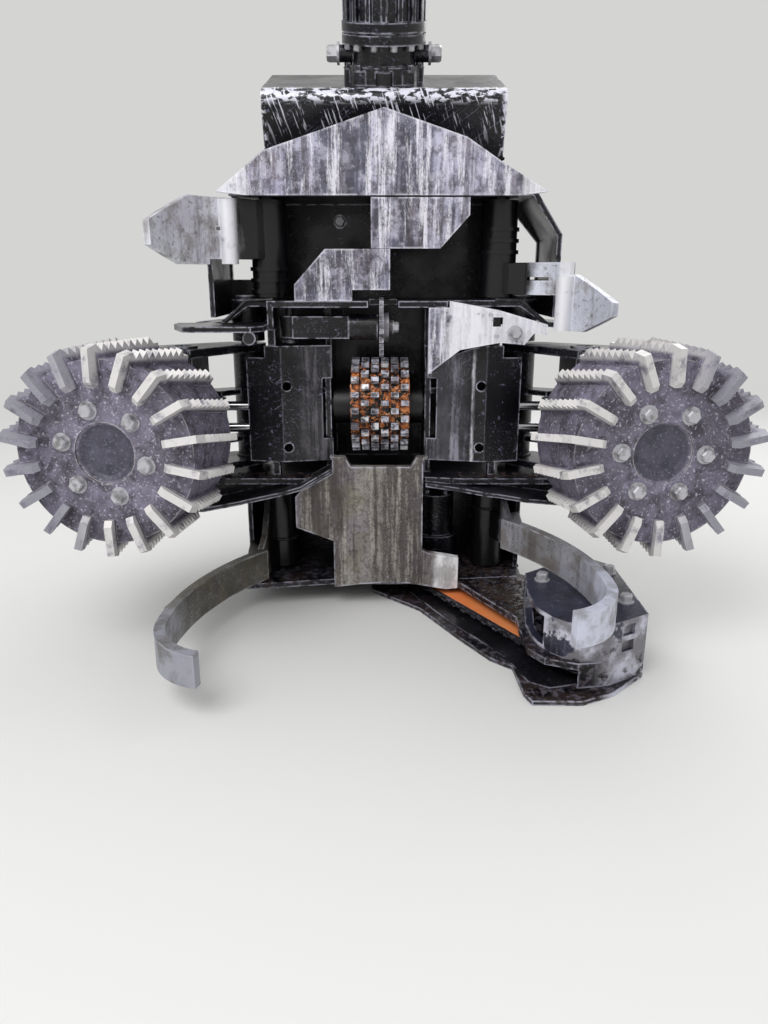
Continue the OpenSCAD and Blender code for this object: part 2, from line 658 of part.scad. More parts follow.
module feed_roller() roller_frame() {
    rotate([-90, 0, 0]) difference() {
        cylinder(d = drum_d, h = drum_len, $fn = 64);
        translate([0, 0, 28]) cylinder(d = drum_d - 2 * drum_wall, h = drum_len);
        // shallow dish inside the ring of bolts
        rotate_extrude() polygon([[0, -1], [66, -1], [66, 5], [50, 13], [0, 16]]);
    }
    for (i = [0 : blade_count - 1]) rotate([0, (i + 0.5) * 360 / blade_count, 0])
        rotate([10, 0, 0]) blade();
}
module feed_roller_left() color("#77747e") place() turn_left() feed_roller();
module feed_roller_right() color("#77747e") place() feed_roller();

// Twin feed cylinders, pinned to the frame beside the centre roller
feed_z = [450, 505];
feed_pin = [178, 96];
feed_eye = [arm_pin_x + 70, arm_pin_y - 61];
feed_a = atan2(feed_eye[1] - feed_pin[1], feed_eye[0] - feed_pin[0]);
feed_l = norm(feed_eye - feed_pin);
barrel_len = 112;
eye_r = 15;
eye_pin_d = 12;
eye_play = 4.6;       // lets the rod's eye drift on its pin

module feed_line() translate([feed_pin[0], feed_pin[1], 0]) rotate([0, 0, feed_a]) children();

module feed_barrel() feed_line() {
    for (z = feed_z) translate([16, 0, z]) rotate([0, 90, 0]) difference() {
        cylinder(d = feed_barrel_d, h = barrel_len);
        translate([0, 0, 12]) cylinder(d = feed_rod_d + 2 * run, h = barrel_len);
    }
    upright(0, 0, 36, feed_z[0] - 28, feed_z[1] + 28);
    upright(0, 0, 20, feed_z[0] - 48, feed_z[1] + 48);
    for (z = feed_z) translate([0, -14, z - 14]) cube([24, 28, 28]);
}

module feed_rod() feed_line() {
    for (z = feed_z) translate([92, 0, z]) rotate([0, 90, 0])
        cylinder(d = feed_rod_d, h = feed_l - 92 - eye_r + 3);
    difference() {
        upright(feed_l, 0, 2 * eye_r, feed_z[0] - 22, feed_z[1] + 22);
        upright(feed_l, 0, eye_pin_d + 2 * eye_play, feed_z[0] - 30, feed_z[1] + 30);
    }
}
module feed_barrel_left() color("#202024") place() turn_left() feed_barrel();
module feed_barrel_right() color("#202024") place() feed_barrel();
module feed_rod_left() color("#9b9ba2") place() turn_left() feed_rod();
module feed_rod_right() color("#9b9ba2") place() feed_rod();

// Centre roller: rows of studs side by side on one core
centre_left = -83;
centre_right = 63;
row_pitch = (centre_right - centre_left) / stud_rows;

module stud_row(w) {
    linear_extrude(w) polygon([for (i = [0 : stud_count - 1]) for (p = [[0, 0], [0.28, 0],
        [0.36, 1], [0.64, 1], [0.72, 0]])
        let (a = (i + p[0] * 1.0) * 360 / stud_count, r = p[1] == 1 ? stud_r : stud_r - 18)
        [r * cos(a), r * sin(a)]]);
}

module centre_roller() color("#5b565c") place() translate([0, centre_y, centre_z]) {
    for (i = [0 : stud_rows - 1]) translate([centre_left + row_pitch * i + 3, 0, 0])
        rotate([0, 90, 0]) rotate([0, 0, i * 10]) stud_row(row_pitch - 6);
    translate([centre_left, 0, 0]) rotate([0, 90, 0]) cylinder(d = 188, h = centre_right - centre_left);
    translate([gap - bay_hw_l + 14, 0, 0]) rotate([0, 90, 0])
        cylinder(d = 96, h = bay_hw_l + bay_hw_r - 28 - 2 * gap);
    translate([-bay_hw_l, 0, 0]) rotate([0, 90, 0])
        cylinder(d = 60 - 2 * run, h = bay_hw_l + bay_hw_r);
}

// Measuring arm on its upright pin, and the toothed wheel that rides on the trunk
measure_pin = [-230, 60];
measure_pin_d = 20;
wheel_y = 38;
wheel_x = -6;

module measuring_arm() color("#2c2c31") place() {
    difference() {
        union() {
            upright(measure_pin[0], measure_pin[1], 48, wheel_z - 26, wheel_z + 26);
            translate([measure_pin[0] + 10, wheel_y - 18, wheel_z - 26]) cube([136, 38, 52]);
        }
        upright(measure_pin[0], measure_pin[1], measure_pin_d + 2 * run, wheel_z - 30, wheel_z + 30);
    }
    translate([measure_pin[0] + 145, wheel_y, wheel_z]) rotate([0, 90, 0])
        cylinder(d = 60, h = wheel_x - measure_pin[0] - 145 - wheel_t / 2 - 4);
    translate([measure_pin[0] + 150, wheel_y, wheel_z]) rotate([0, 90, 0])
        cylinder(d = 19, h = wheel_x - measure_pin[0] - 150 + wheel_t / 2 + 20);
}

module measuring_wheel() color("#b9bac2") place() translate([wheel_x, wheel_y, wheel_z]) {
    translate([-wheel_t / 2, 0, 0]) rotate([0, 90, 0]) linear_extrude(wheel_t)
        difference() {
            polygon([for (i = [0 : 19]) for (p = [[0, 0], [0.5, 9]]) let (a = (i + p[0]) * 18,
                r = wheel_r - 9 + p[1]) [r * cos(a), r * sin(a)]]);
            circle(d = 19 + 2 * run);
        }
    translate([wheel_t / 2, 0, 0]) rotate([0, 90, 0]) difference() {
        cylinder(d = 70, h = 12);
        translate([0, 0, -1]) cylinder(d = 19 + 2 * run, h = 14);
    }
    translate([wheel_t / 2 + 12, 0, 0]) rotate([0, 90, 0]) difference() {
        cylinder(d = 34, h = 10);
        translate([0, 0, -1]) cylinder(d = 19 + 2 * run, h = 12);
    }
}

// Saw bar and chain, parked in the box
bar_angle = -59;
bar_z = 27;

module bar_outline(grow) {
    w = bar_w / 2 + grow;
    polygon(concat([[-50, -w], [bar_len - 70, -w + 4]],
        [for (a = [-80 : 16 : 80]) [bar_len - 44 + (44 + grow) * cos(a), (w - 4) * sin(a)]],
        [[bar_len - 70, w - 4], [-50, w]], [for (a = [110 : 20 : 250]) [-50 + w * cos(a) * 0.8,
            w * sin(a)]]));
}

module saw_bar() color("#d9662a") place() translate([saw_x, saw_y, bar_z - bar_t / 2]) {
    rotate([0, 0, bar_angle]) difference() {
        linear_extrude(bar_t) bar_outline(0);
        for (x = [70, 420]) translate([x, 0, -1]) cylinder(d = 26, h = bar_t + 2);
    }
    // clamp that hangs the bar under the base deck
    translate([0, 0, bar_t - 1]) cylinder(d = 76, h = base_z - seat - bar_z - bar_t / 2 + 1);
}

module saw_chain() color("#6c6c72") place() translate([saw_x, saw_y, bar_z - 5])
    rotate([0, 0, bar_angle]) linear_extrude(10) difference() {
        bar_outline(9);
        bar_outline(0);
    }

// Tilt link, built upright about its pivot and then leaned forward
module lean() translate([0, tilt_y, tilt_z]) rotate([link_lean, 0, 0]) children();

module link_box() color("#1b1b1f") place() lean()
    translate([-link_w / 2, 0, 0]) rotate([90, 0, 90]) linear_extrude(link_w)
        polygon(concat([[link_d / 2, link_h - link_box_h], [link_d / 2, link_h - 10],
            [link_d / 2 - 10, link_h]],
            [for (a = [0 : 15 : 90]) [30 - link_d / 2 - 30 * sin(a), link_h - 30 + 30 * cos(a)]],
            [[-link_d / 2, link_h - link_box_h]]));

module link_arm() difference() {
    rotate([90, 0, 90]) linear_extrude(link_arm_t) polygon(concat(
        [[link_d / 2, link_h - link_box_h], [-link_d / 2, link_h - link_box_h],
            [-link_d / 2, link_h - link_box_h - 26], [-38, 474], [-58, 300]],
        [for (a = [180 : 20 : 340]) [78 * cos(a), 78 * sin(a)]],
        [for (a = [-40 : 20 : 60]) [tilt_lever[0] + lever_boss_r * cos(a),
            tilt_lever[1] + lever_boss_r * sin(a)]]));
    translate([-1, 0, 0]) rotate([0, 90, 0]) cylinder(d = tilt_pin_d, h = link_arm_t + 2);
    translate([-1, 40, 330]) rotate([0, 90, 0]) cylinder(d = 90, h = link_arm_t + 2);
}

module link_arms() color("#1e1e22") place() lean() {
    for (x = [-link_w / 2, link_w / 2 - link_arm_t]) translate([x, 0, 0]) link_arm();
    for (x = [-link_w / 2 - 12, rear_hw - wall_t - 8]) translate([x, 0, 0])
        rotate([0, 90, 0]) cylinder(d = tilt_pin_d - 2 * run, h = link_w / 2 + 32 + wall_t - rear_hw - 12);
    // cross tube that the tilt cylinder turns
    translate([link_arm_t - link_w / 2, tilt_lever[0], tilt_lever[1]]) rotate([0, 90, 0])
        cylinder(d = lever_d, h = link_w - 2 * link_arm_t);
}

// Rotator: foot with bolt lobes, neck with the hose ports, a flange in two bands, the
// ribbed body and the fork for the crane pin
foot_h = 38;
neck_h = 44;
neck_d = rotator_d - 44;
flange_h = 46;
rib_count = 16;
body_h = 52;
cap_h = 14;
fork_up = 190;        // from the flange up to the crane pin

module rotator_base() color("#202024") place() lean() translate([0, 0, link_h]) {
    cylinder(d = rotator_d - 26, h = foot_h);
    for (i = [0 : 7]) rotate([0, 0, i * 45]) translate([rotator_d / 2 - 21, 0, 0])
        cylinder(d = 42, h = foot_h - 8);
    translate([0, 0, foot_h - 1]) cylinder(d = neck_d, h = neck_h + 1);
    for (side = [-1, 1]) translate([side * (neck_d / 2 - 10), 0, foot_h + neck_h / 2])
        rotate([0, side * 90, 0]) difference() {
            cylinder(d = neck_h - 6, h = 42);
            translate([0, 0, 20]) cylinder(d = 22, h = 30);
        }
}

module rotator_head() color("#26262a") place() lean()
    translate([0, 0, link_h + foot_h + neck_h + seat]) difference() {
        union() {
            cylinder(d = rotator_d + 6, h = flange_h / 2 - 2);
            translate([0, 0, flange_h / 2 - 3]) cylinder(d = rotator_d - 8, h = 6);
            translate([0, 0, flange_h / 2 + 2]) cylinder(d = rotator_d + 6, h = flange_h / 2 - 2);
            translate([0, 0, flange_h - 1]) cylinder(d = rotator_d - 22, h = body_h + 1);
            for (i = [0 : rib_count - 1]) rotate([0, 0, i * 360 / rib_count])
                translate([rotator_d / 2 - 20, -6, flange_h - 1]) cube([20, 12, body_h - 3]);
            translate([0, 0, flange_h + body_h - 1]) cylinder(d = rotator_d - 6, h = cap_h);
            for (x = [-58, 30]) translate([x, -60, flange_h + body_h + cap_h - 4])
                cube([28, 120, fork_up - flange_h - body_h - cap_h + 4]);
            for (x = [-58, 30]) translate([x, 0, fork_up]) rotate([0, 90, 0])
                cylinder(r = 60, h = 28);
        }
        translate([-70, 0, fork_up]) rotate([0, 90, 0]) cylinder(d = crane_pin_d, h = 140);
    }

// Tilt cylinder behind the head
tilt_eye = [tilt_y + tilt_lever[0] * cos(link_lean) - tilt_lever[1] * sin(link_lean),
    tilt_z + tilt_lever[0] * sin(link_lean) + tilt_lever[1] * cos(link_lean)];
tilt_span = [tilt_eye[0] - tilt_anchor_y, tilt_eye[1] - tilt_anchor_z];
tilt_a = atan2(-tilt_span[0], tilt_span[1]);
tilt_l = norm(tilt_span);
rod_len = 380;
tilt_rod_d = 50;
module tilt_line() translate([0, tilt_anchor_y, tilt_anchor_z]) rotate([tilt_a, 0, 0]) children();

module tilt_barrel() color("#212125") place() tilt_line()
    difference() {
        union() {
            translate([0, 0, 26]) cylinder(d = tilt_barrel_d, h = 342);
            translate([-tilt_eye_w / 2, 0, 0]) rotate([0, 90, 0]) cylinder(d = 72, h = tilt_eye_w);
        }
        translate([0, 0, 44]) cylinder(d = tilt_rod_d + 2 * run, h = 400);
        translate([-tilt_eye_w, 0, 0]) rotate([0, 90, 0])
            cylinder(d = tilt_foot_d + 2 * run, h = 2 * tilt_eye_w);
    }

module tilt_rod() color("#b5b5bc") place() tilt_line()
    translate([0, 0, tilt_l - rod_len]) cylinder(d = tilt_rod_d, h = rod_len - lever_d / 2 - seat);

back_wall();
upper_housing();
roof_plate();
mid_deck();
low_deck();
base_deck();
lower_housing();
rear_box();
rear_hatch();
rub_plates();
front_pillar();
cover_left();
cover_right();
apron();
roller_bay();
saw_box();
saw_end_block();
saw_liner();
saw_motor();
frame_pins();
knife_upper_left();
knife_upper_right();
knife_lower_left();
knife_lower_right();
feed_arm_left();
feed_arm_right();
feed_motor_left();
feed_motor_right();
feed_roller_left();
feed_roller_right();
feed_barrel_left();
feed_barrel_right();
feed_rod_left();
feed_rod_right();
centre_roller();
measuring_arm();
measuring_wheel();
saw_bar();
saw_chain();
link_box();
link_arms();
rotator_base();
rotator_head();
tilt_barrel();
tilt_rod();
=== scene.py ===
# %% [markdown]
# A harvester head hangs from a forestry crane, grips a stem, pulls it through its
# knives and saws it to length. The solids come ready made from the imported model,
# so this lesson is about what makes oily black paint, worn steel and small
# fittings look right around them.

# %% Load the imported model
import json
from math import cos, pi, radians, sin, tau

import bmesh
import bpy
from mathutils import Matrix, Vector

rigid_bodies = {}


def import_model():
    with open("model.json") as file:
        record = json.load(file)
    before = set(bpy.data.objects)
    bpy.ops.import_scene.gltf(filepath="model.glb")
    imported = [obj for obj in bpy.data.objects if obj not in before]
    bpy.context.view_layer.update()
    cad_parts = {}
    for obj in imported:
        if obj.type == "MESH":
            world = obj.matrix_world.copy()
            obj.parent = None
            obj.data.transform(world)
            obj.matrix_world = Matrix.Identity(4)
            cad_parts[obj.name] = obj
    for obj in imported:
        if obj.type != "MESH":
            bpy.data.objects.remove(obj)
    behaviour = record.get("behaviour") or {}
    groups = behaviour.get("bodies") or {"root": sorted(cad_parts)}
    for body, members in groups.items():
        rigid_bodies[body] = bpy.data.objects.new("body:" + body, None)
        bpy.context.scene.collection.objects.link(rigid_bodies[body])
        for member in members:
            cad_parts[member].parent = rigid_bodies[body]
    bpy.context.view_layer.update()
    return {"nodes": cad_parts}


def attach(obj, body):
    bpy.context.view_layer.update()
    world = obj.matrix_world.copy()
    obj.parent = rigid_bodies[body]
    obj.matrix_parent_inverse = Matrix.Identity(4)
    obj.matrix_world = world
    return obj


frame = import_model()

# %% [markdown]
# The photograph looks down at the head a little, from close by, with a wide lens.
# The camera stands where rays through known points of the head meet. The lens is
# given for a 36 mm sensor along the picture's long side.

# %% Camera
HEAD_Y = -0.01096                        # the wear plates' face, from the origin
SENSOR = 36                              # millimetres
FOCAL_PX, LONG_PX = 773, 1024
CAMERA_AWAY, CAMERA_UP = 1.88, 0.822     # from the plates and the ground, in metres
CAMERA_DOWN = 17                         # degrees below the horizon


def in_scene(name, data):
    """A new object that holds the data, linked to the scene."""
    obj = bpy.data.objects.new(name, data)
    bpy.context.scene.collection.objects.link(obj)
    return obj


camera = in_scene("camera", bpy.data.cameras.new("camera"))
camera.data.sensor_width = SENSOR
camera.data.lens = SENSOR * FOCAL_PX / LONG_PX
camera.location = (0, HEAD_Y - CAMERA_AWAY, CAMERA_UP)
camera.rotation_euler = (radians(90 - CAMERA_DOWN), 0, 0)
bpy.context.scene.camera = camera
print("lens", round(camera.data.lens, 2), "mm")

# %% [markdown]
# The helpers for meshes come first: every small piece below is points and faces in
# the model's own frame, in metres, with its object left at the origin.

# %% Helpers for pieces
def object_from(name, bm):
    """Turns a bmesh into an object at the origin."""
    mesh = bpy.data.meshes.new(name)
    bm.to_mesh(mesh)
    bm.free()
    return in_scene(name, mesh)


def shade_smooth(mesh, sharp_from):
    for p in mesh.polygons:
        p.use_smooth = True
    mesh.set_sharp_from_angle(angle=radians(sharp_from))


def add_piece(name, bm, material, body):
    """A piece with its faces turned outwards, riding on a body."""
    bmesh.ops.recalc_face_normals(bm, faces=bm.faces)
    obj = object_from(name, bm)
    obj.data.materials.append(material)
    shade_smooth(obj.data, 35)
    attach(obj, body)


def head(x, y, z):
    """A place in millimetres from the wear plates' face, as a point of the frame."""
    return Vector((x / 1000, y / 1000 + HEAD_Y, z / 1000))


# %% [markdown]
# Materials share a few effects. Each is a node group with named inputs, built once,
# that reads Object coordinates and puts out a mask.

# %% Helpers for nodes
def feed(tree, node, links):
    """links maps a node's inputs to numbers, colours or other nodes' sockets."""
    for key, value in links.items():
        if isinstance(value, bpy.types.NodeSocket):
            tree.links.new(value, node.inputs[key])
        else:
            node.inputs[key].default_value = value


def add_node(tree, kind, links=None, **settings):
    node = tree.nodes.new(kind)
    for key, value in settings.items():
        setattr(node, key, value)
    feed(tree, node, links or {})
    return node


def output_of(tree, kind, links=None, output=0, **settings):
    """Adds a node and gives one of its outputs."""
    return add_node(tree, kind, links, **settings).outputs[output]


def add_inputs(tree, inputs):
    """inputs maps a label to its value, a whole number or a fraction."""
    for label, value in inputs.items():
        kind = "NodeSocketInt" if isinstance(value, int) else "NodeSocketFloat"
        tree.interface.new_socket(label, in_out="INPUT", socket_type=kind).default_value = value


def start_group(name, inputs):
    tree = bpy.data.node_groups.new(name, "ShaderNodeTree")
    add_inputs(tree, inputs)
    tree.interface.new_socket("Mask", in_out="OUTPUT", socket_type="NodeSocketFloat")
    return tree, tree.nodes.new("NodeGroupInput").outputs


def end_group(tree, covered):
    add_node(tree, "NodeGroupOutput", {"Mask": covered})
    return tree


def math_node(tree, operation, a, b=0.0, clamp=False):
    return output_of(tree, "ShaderNodeMath", {0: a, 1: b}, operation=operation, use_clamp=clamp)


def times(tree, a, b, clamp=False):
    return math_node(tree, "MULTIPLY", a, b, clamp)


def plus(tree, a, b, clamp=False):
    return math_node(tree, "ADD", a, b, clamp)


def minus(tree, a, b, clamp=False):
    return math_node(tree, "SUBTRACT", a, b, clamp)


def larger(tree, a, b):
    return math_node(tree, "MAXIMUM", a, b)


def absolute(tree, a):
    return math_node(tree, "ABSOLUTE", a)


def ramp(tree, value, low, high):
    """0 below low, 1 above high, smooth between."""
    return output_of(tree, "ShaderNodeMapRange",
                     {"Value": value, "From Min": low, "From Max": high}, "Result",
                     interpolation_type="SMOOTHSTEP")


def vector_node(tree, operation, links, output=0):
    return output_of(tree, "ShaderNodeVectorMath", links, output, operation=operation)


def coordinates(tree, kind="Object"):
    return output_of(tree, "ShaderNodeTexCoord", output=kind)


def apart(tree, vector):
    """A vector's three sockets, X, Y and Z."""
    return add_node(tree, "ShaderNodeSeparateXYZ", {0: vector}).outputs


def noise(tree, scale, detail, stretch=None, turn=None):
    """Noise on Object coordinates, stretched along an axis where asked."""
    where = coordinates(tree)
    for setting, value in (("Rotation", turn), ("Scale", stretch)):
        if value:
            where = output_of(tree, "ShaderNodeMapping", {"Vector": where, setting: value})
    return output_of(tree, "ShaderNodeTexNoise",
                     {"Vector": where, "Scale": scale, "Detail": detail, "Roughness": 0.6}, "Fac")


def own_normal(tree):
    """The piece's own normal as three sockets; it turns with the piece at every pose."""
    return apart(tree, coordinates(tree, "Normal"))


# %% [markdown]
# Paint and rust go first where steel rubs: on edges. The Bevel node gives a softened
# normal near an edge, and its difference from the true normal marks the edge. Noise
# breaks the line up.

# %% Effect: worn edges
def build_worn_edges():
    tree, put = start_group("worn edges", {"Width": 0.004, "Amount": 1.0, "Breakup": 40.0})
    soft = output_of(tree, "ShaderNodeBevel", {"Radius": put["Width"]}, samples=4)
    true = output_of(tree, "ShaderNodeNewGeometry", output="Normal")
    same = vector_node(tree, "DOT_PRODUCT", {0: soft, 1: true}, "Value")
    edge = times(tree, minus(tree, 1.0, same), 7.0, clamp=True)
    spots = ramp(tree, noise(tree, put["Breakup"], 6.0), 0.38, 0.56)
    # front rims are rubbed most, the rest only here and there
    front = ramp(tree, own_normal(tree)["Y"], -0.2, -0.9)
    patch = ramp(tree, noise(tree, 5.0, 3.0), 0.5, 0.6)
    where = larger(tree, times(tree, front, 0.9), patch)
    worn = times(tree, times(tree, edge, spots), where)
    return end_group(tree, times(tree, worn, put["Amount"], clamp=True))


WORN_EDGES = build_worn_edges()

# %% [markdown]
# Rain, resin and oil run down a plate in streaks; logs leave scratches in all
# directions; dirt and oil stay in blotches. Three small groups make them.

# %% Effects: streaks, scratches and blotches
def build_streaks():
    tree, put = start_group("streaks", {"Scale": 30.0, "Cover": 0.5})
    wide = noise(tree, put["Scale"], 5.0, stretch=(1, 1, 0.09))
    fine = noise(tree, times(tree, put["Scale"], 3.1), 4.0, stretch=(1, 1, 0.05))
    grit = noise(tree, times(tree, put["Scale"], 9.0), 3.0, stretch=(1, 1, 0.3))
    both = times(tree, wide, 0.55)
    for part, share in ((fine, 0.27), (grit, 0.18)):
        both = plus(tree, both, times(tree, part, share))
    low = minus(tree, 0.95, times(tree, put["Cover"], 0.8))
    return end_group(tree, ramp(tree, both, minus(tree, low, 0.12), minus(tree, low, 0.01)))


def build_scratches():
    tree, put = start_group("scratches", {"Scale": 9.0, "Cover": 0.4})
    total = None
    for turn, stretch in (((0.3, 0.5, 0.35), (1, 60, 60)), ((0.9, -0.7, 1.3), (60, 1, 60)),
                          ((-0.5, 0.9, -0.6), (60, 60, 1))):
        line = ramp(tree, noise(tree, put["Scale"], 2.0, stretch, turn), 0.66, 0.7)
        total = line if total is None else larger(tree, total, line)
    where = ramp(tree, noise(tree, 5.0, 3.0), 0.58, 0.42)
    return end_group(tree, times(tree, total, times(tree, where, put["Cover"])))


def build_blotches():
    tree, put = start_group("blotches", {"Scale": 12.0, "Cover": 0.5, "Softness": 0.08})
    spots = noise(tree, put["Scale"], 7.0)
    low = minus(tree, 0.85, times(tree, put["Cover"], 0.7))
    return end_group(tree, ramp(tree, spots, minus(tree, low, put["Softness"]),
                                plus(tree, low, put["Softness"])))


STREAKS, SCRATCHES, BLOTCHES = build_streaks(), build_scratches(), build_blotches()
print("effects", [g.name for g in bpy.data.node_groups])

# %% [markdown]
# Every finish is a base colour with layers on it, each layer a colour, a mask, and
# how rough and how metallic it is. A short table per material says which.

# %% Helper: a layered finish
def linear(colour):
    """A colour written as in a paint program, made linear for the shader."""
    return tuple(((c / 12.92) if c <= 0.04045 else ((c + 0.055) / 1.055) ** 2.4)
                 for c in colour) + (1.0,)


def mask(tree, group, **values):
    return output_of(tree, "ShaderNodeGroup", values, "Mask", node_tree=group)


def mix_number(tree, factor, a, b):
    return output_of(tree, "ShaderNodeMix", {0: factor, 2: a, 3: b})


def mix_colour(tree, factor, a, b):
    return output_of(tree, "ShaderNodeMix", {0: factor, 6: a, 7: b}, 2, data_type="RGBA")


def laid_on(tree, cover, colour, under, roughness=0.5, metal=0.1):
    """A colour or a colour socket laid by a mask over (colour, roughness, metallic)."""
    if not isinstance(colour, bpy.types.NodeSocket):
        colour = linear(colour)
    return (mix_colour(tree, cover, under[0], colour),
            mix_number(tree, cover, under[1], roughness), mix_number(tree, cover, under[2], metal))


def finish_of(name, base, rough, metal, layers, bump=0.3, grain=260.0, dents=0.0, extra=None,
              shine=0.5, oil=0.0):
    """layers is a list of (mask maker, colour, roughness, metallic, strength)."""
    material = bpy.data.materials.new(name)
    material.use_nodes = True
    tree = material.node_tree
    dark = tuple(c * 0.72 for c in linear(base)[:3]) + (1.0,)
    look = (mix_colour(tree, noise(tree, 7.0, 5.0), dark, linear(base)),
            mix_number(tree, noise(tree, 18.0, 5.0), rough - 0.1, rough + 0.12), metal)
    for make, colour, layer_rough, layer_metal, strength in layers:
        cover = times(tree, make(tree), strength)
        look = laid_on(tree, cover, colour, look, layer_rough, layer_metal)
    if extra:
        look = extra(tree, look)
    normal = output_of(tree, "ShaderNodeBump",
                       {"Height": noise(tree, grain, 4.0), "Strength": bump, "Distance": 0.0015})
    if dents:
        normal = output_of(tree, "ShaderNodeBump",
                           {"Height": noise(tree, 22.0, 3.0), "Strength": dents,
                            "Distance": 0.006, "Normal": normal})
    shader = tree.nodes["Principled BSDF"]
    feed(tree, shader, dict(zip(("Base Color", "Roughness", "Metallic"), look)))
    feed(tree, shader, {"Specular IOR Level": shine, "Normal": normal})
    if oil:
        wet = times(tree, blotches(9.0, 0.55, 0.1)(tree), oil)
        feed(tree, shader, {"Coat Weight": wet, "Coat Roughness": 0.12})
    return material


def place_of(tree):
    """The Object coordinates as three sockets, in metres."""
    return apart(tree, coordinates(tree))


def edges(width, breakup, amount=1.0):
    return lambda tree: mask(tree, WORN_EDGES, Width=width, Amount=amount, Breakup=breakup)


def streaks(scale, cover):
    return lambda tree: mask(tree, STREAKS, Scale=scale, Cover=cover)


def scratches(scale, cover):
    return lambda tree: mask(tree, SCRATCHES, Scale=scale, Cover=cover)


def blotches(scale, cover, softness):
    return lambda tree: mask(tree, BLOTCHES, Scale=scale, Cover=cover, Softness=softness)


# %% [markdown]
# The frame is black, oily and glossy, with silvery edges where the paint is gone.
# The plates that the stem slides on are bare, streaked lilac grey. The pillar is
# browner, with a rubbed pale strip at its right foot.

# %% Finishes of the frame
SILVER, RESIN, OIL = (0.85, 0.85, 0.92), (0.42, 0.38, 0.32), (0.04, 0.04, 0.05)
PALE = (0.88, 0.88, 0.95)
# the black's blue tint is painted sky reflection on the glossy paint
BLACK_SKY_TINTED = (0.022, 0.023, 0.045)
LINK_Y, LINK_Z = 492, 600          # the tilt link's pivot, in millimetres
LEAN = radians(19)                 # its forward lean
GRIME_AND_GLINTS = [(blotches(6.0, 0.4, 0.12), (0.075, 0.062, 0.07), 0.5, 0.0, 0.8),
         (streaks(22.0, 0.36), (0.11, 0.085, 0.085), 0.4, 0.0, 0.55),
         # pale lavender specks: partly paint chips, partly painted oil highlights
         (blotches(80.0, 0.28, 0.03), (0.5, 0.49, 0.6), 0.35, 0.2, 0.6),
         (scratches(8.0, 0.9), (0.6, 0.6, 0.7), 0.4, 0.4, 0.65)]


def bare_patch(low, high, colour, strength, cover=0.55, top=3.0, edge=0.006):
    """Paint rubbed off between two places along X and below a height, in metres."""
    def add(tree, under):
        at = place_of(tree)
        ragged = minus(tree, noise(tree, 34.0, 6.0), 0.5)
        x = plus(tree, at["X"], times(tree, ragged, 3.0 * edge))
        inside = times(tree, ramp(tree, x, low - edge, low + edge),
                       ramp(tree, x, high + edge, high - edge))
        inside = times(tree, inside, ramp(tree, at["Z"], top + 0.01, top - 0.01))
        streak = streaks(34.0, cover)(tree)
        kept = minus(tree, strength, times(tree, streak, 0.75), clamp=True)
        spots = ramp(tree, noise(tree, 24.0, 9.0, (1, 1, 0.6)), 0.38, 0.58)
        kept = times(tree, kept, plus(tree, 0.45, times(tree, spots, 0.55)))
        return laid_on(tree, times(tree, inside, kept), colour, under)
    return add


def black(name, extra=None, more=(), base=BLACK_SKY_TINTED):
    return finish_of(name, base, 0.3, 0.0,
                     GRIME_AND_GLINTS + list(more) + [(edges(0.006, 45.0, 0.95), SILVER, 0.42, 0.4, 0.95)],
                     bump=0.35, dents=0.22, extra=extra, shine=0.3, oil=0.35)


def ridge_and_face(tree, under):
    """The right cover: a grey face beside the roller, and a thin bright ridge."""
    first = bare_patch(0.1, 0.2, (0.58, 0.57, 0.62), 0.95, 0.52, edge=0.016)(tree, under)
    return bare_patch(0.216, 0.2225, (0.84, 0.83, 0.86), 0.9, 0.48, edge=0.003)(tree, first)


def rubbed_from(start, end):
    """The plates are rubbed palest where the stem slides off, at their sides."""
    def add(tree, under):
        side = ramp(tree, absolute(tree, place_of(tree)["X"]), start, end)
        worn = times(tree, side, ramp(tree, noise(tree, 13.0, 7.0), 0.36, 0.46))
        streak = streaks(30.0, 0.5)(tree)
        worn = minus(tree, worn, times(tree, streak, 0.3), clamp=True)
        return laid_on(tree, times(tree, worn, 0.9), (0.98, 0.98, 1.0), under, 0.45, 0.1)
    return add


def scraped_rim(tree, under):
    """The tilt link's box: paint scraped off along its upper front edge."""
    at = place_of(tree)
    y = minus(tree, at["Y"], HEAD_Y + LINK_Y / 1000)
    z = minus(tree, at["Z"], LINK_Z / 1000)
    up = minus(tree, times(tree, z, cos(LEAN)), times(tree, y, sin(LEAN)))
    back = plus(tree, times(tree, y, cos(LEAN)), times(tree, z, sin(LEAN)))
    rim = times(tree, ramp(tree, up, 0.686, 0.706), ramp(tree, back, -0.095, -0.112))
    rim = times(tree, rim, ramp(tree, noise(tree, 70.0, 8.0, (0.5, 1, 1)), 0.47, 0.53))
    lines = ramp(tree, noise(tree, 150.0, 4.0, (1, 0.1, 0.08), (0.0, 0.35, 0.0)), 0.58, 0.62)
    lines = times(tree, lines, ramp(tree, up, 0.58, 0.7))
    side = times(tree, ramp(tree, absolute(tree, at["X"]), 0.275, 0.289),
                 ramp(tree, noise(tree, 60.0, 8.0), 0.51, 0.56))
    worn = larger(tree, larger(tree, rim, lines), side)
    worn = times(tree, worn, ramp(tree, back, -0.085, -0.11))
    return laid_on(tree, times(tree, worn, 0.9), (0.93, 0.93, 0.98), under, 0.5, 0.1)


def chipped_walls(start):
    """At the saw's end, the upright walls have lost most of their paint."""
    def add(tree, under):
        level = absolute(tree, own_normal(tree)["Z"])
        worn = times(tree, ramp(tree, level, 0.5, 0.3),
                     ramp(tree, noise(tree, 13.0, 9.0), 0.44, 0.49))
        worn = times(tree, worn, ramp(tree, place_of(tree)["X"], start, start + 0.04))
        tone = mix_colour(tree, ramp(tree, noise(tree, 16.0, 6.0), 0.4, 0.62),
                          linear((0.5, 0.49, 0.51)), linear((0.86, 0.86, 0.92)))
        return laid_on(tree, times(tree, worn, 0.92), tone, under, 0.45, 0.3)
    return add


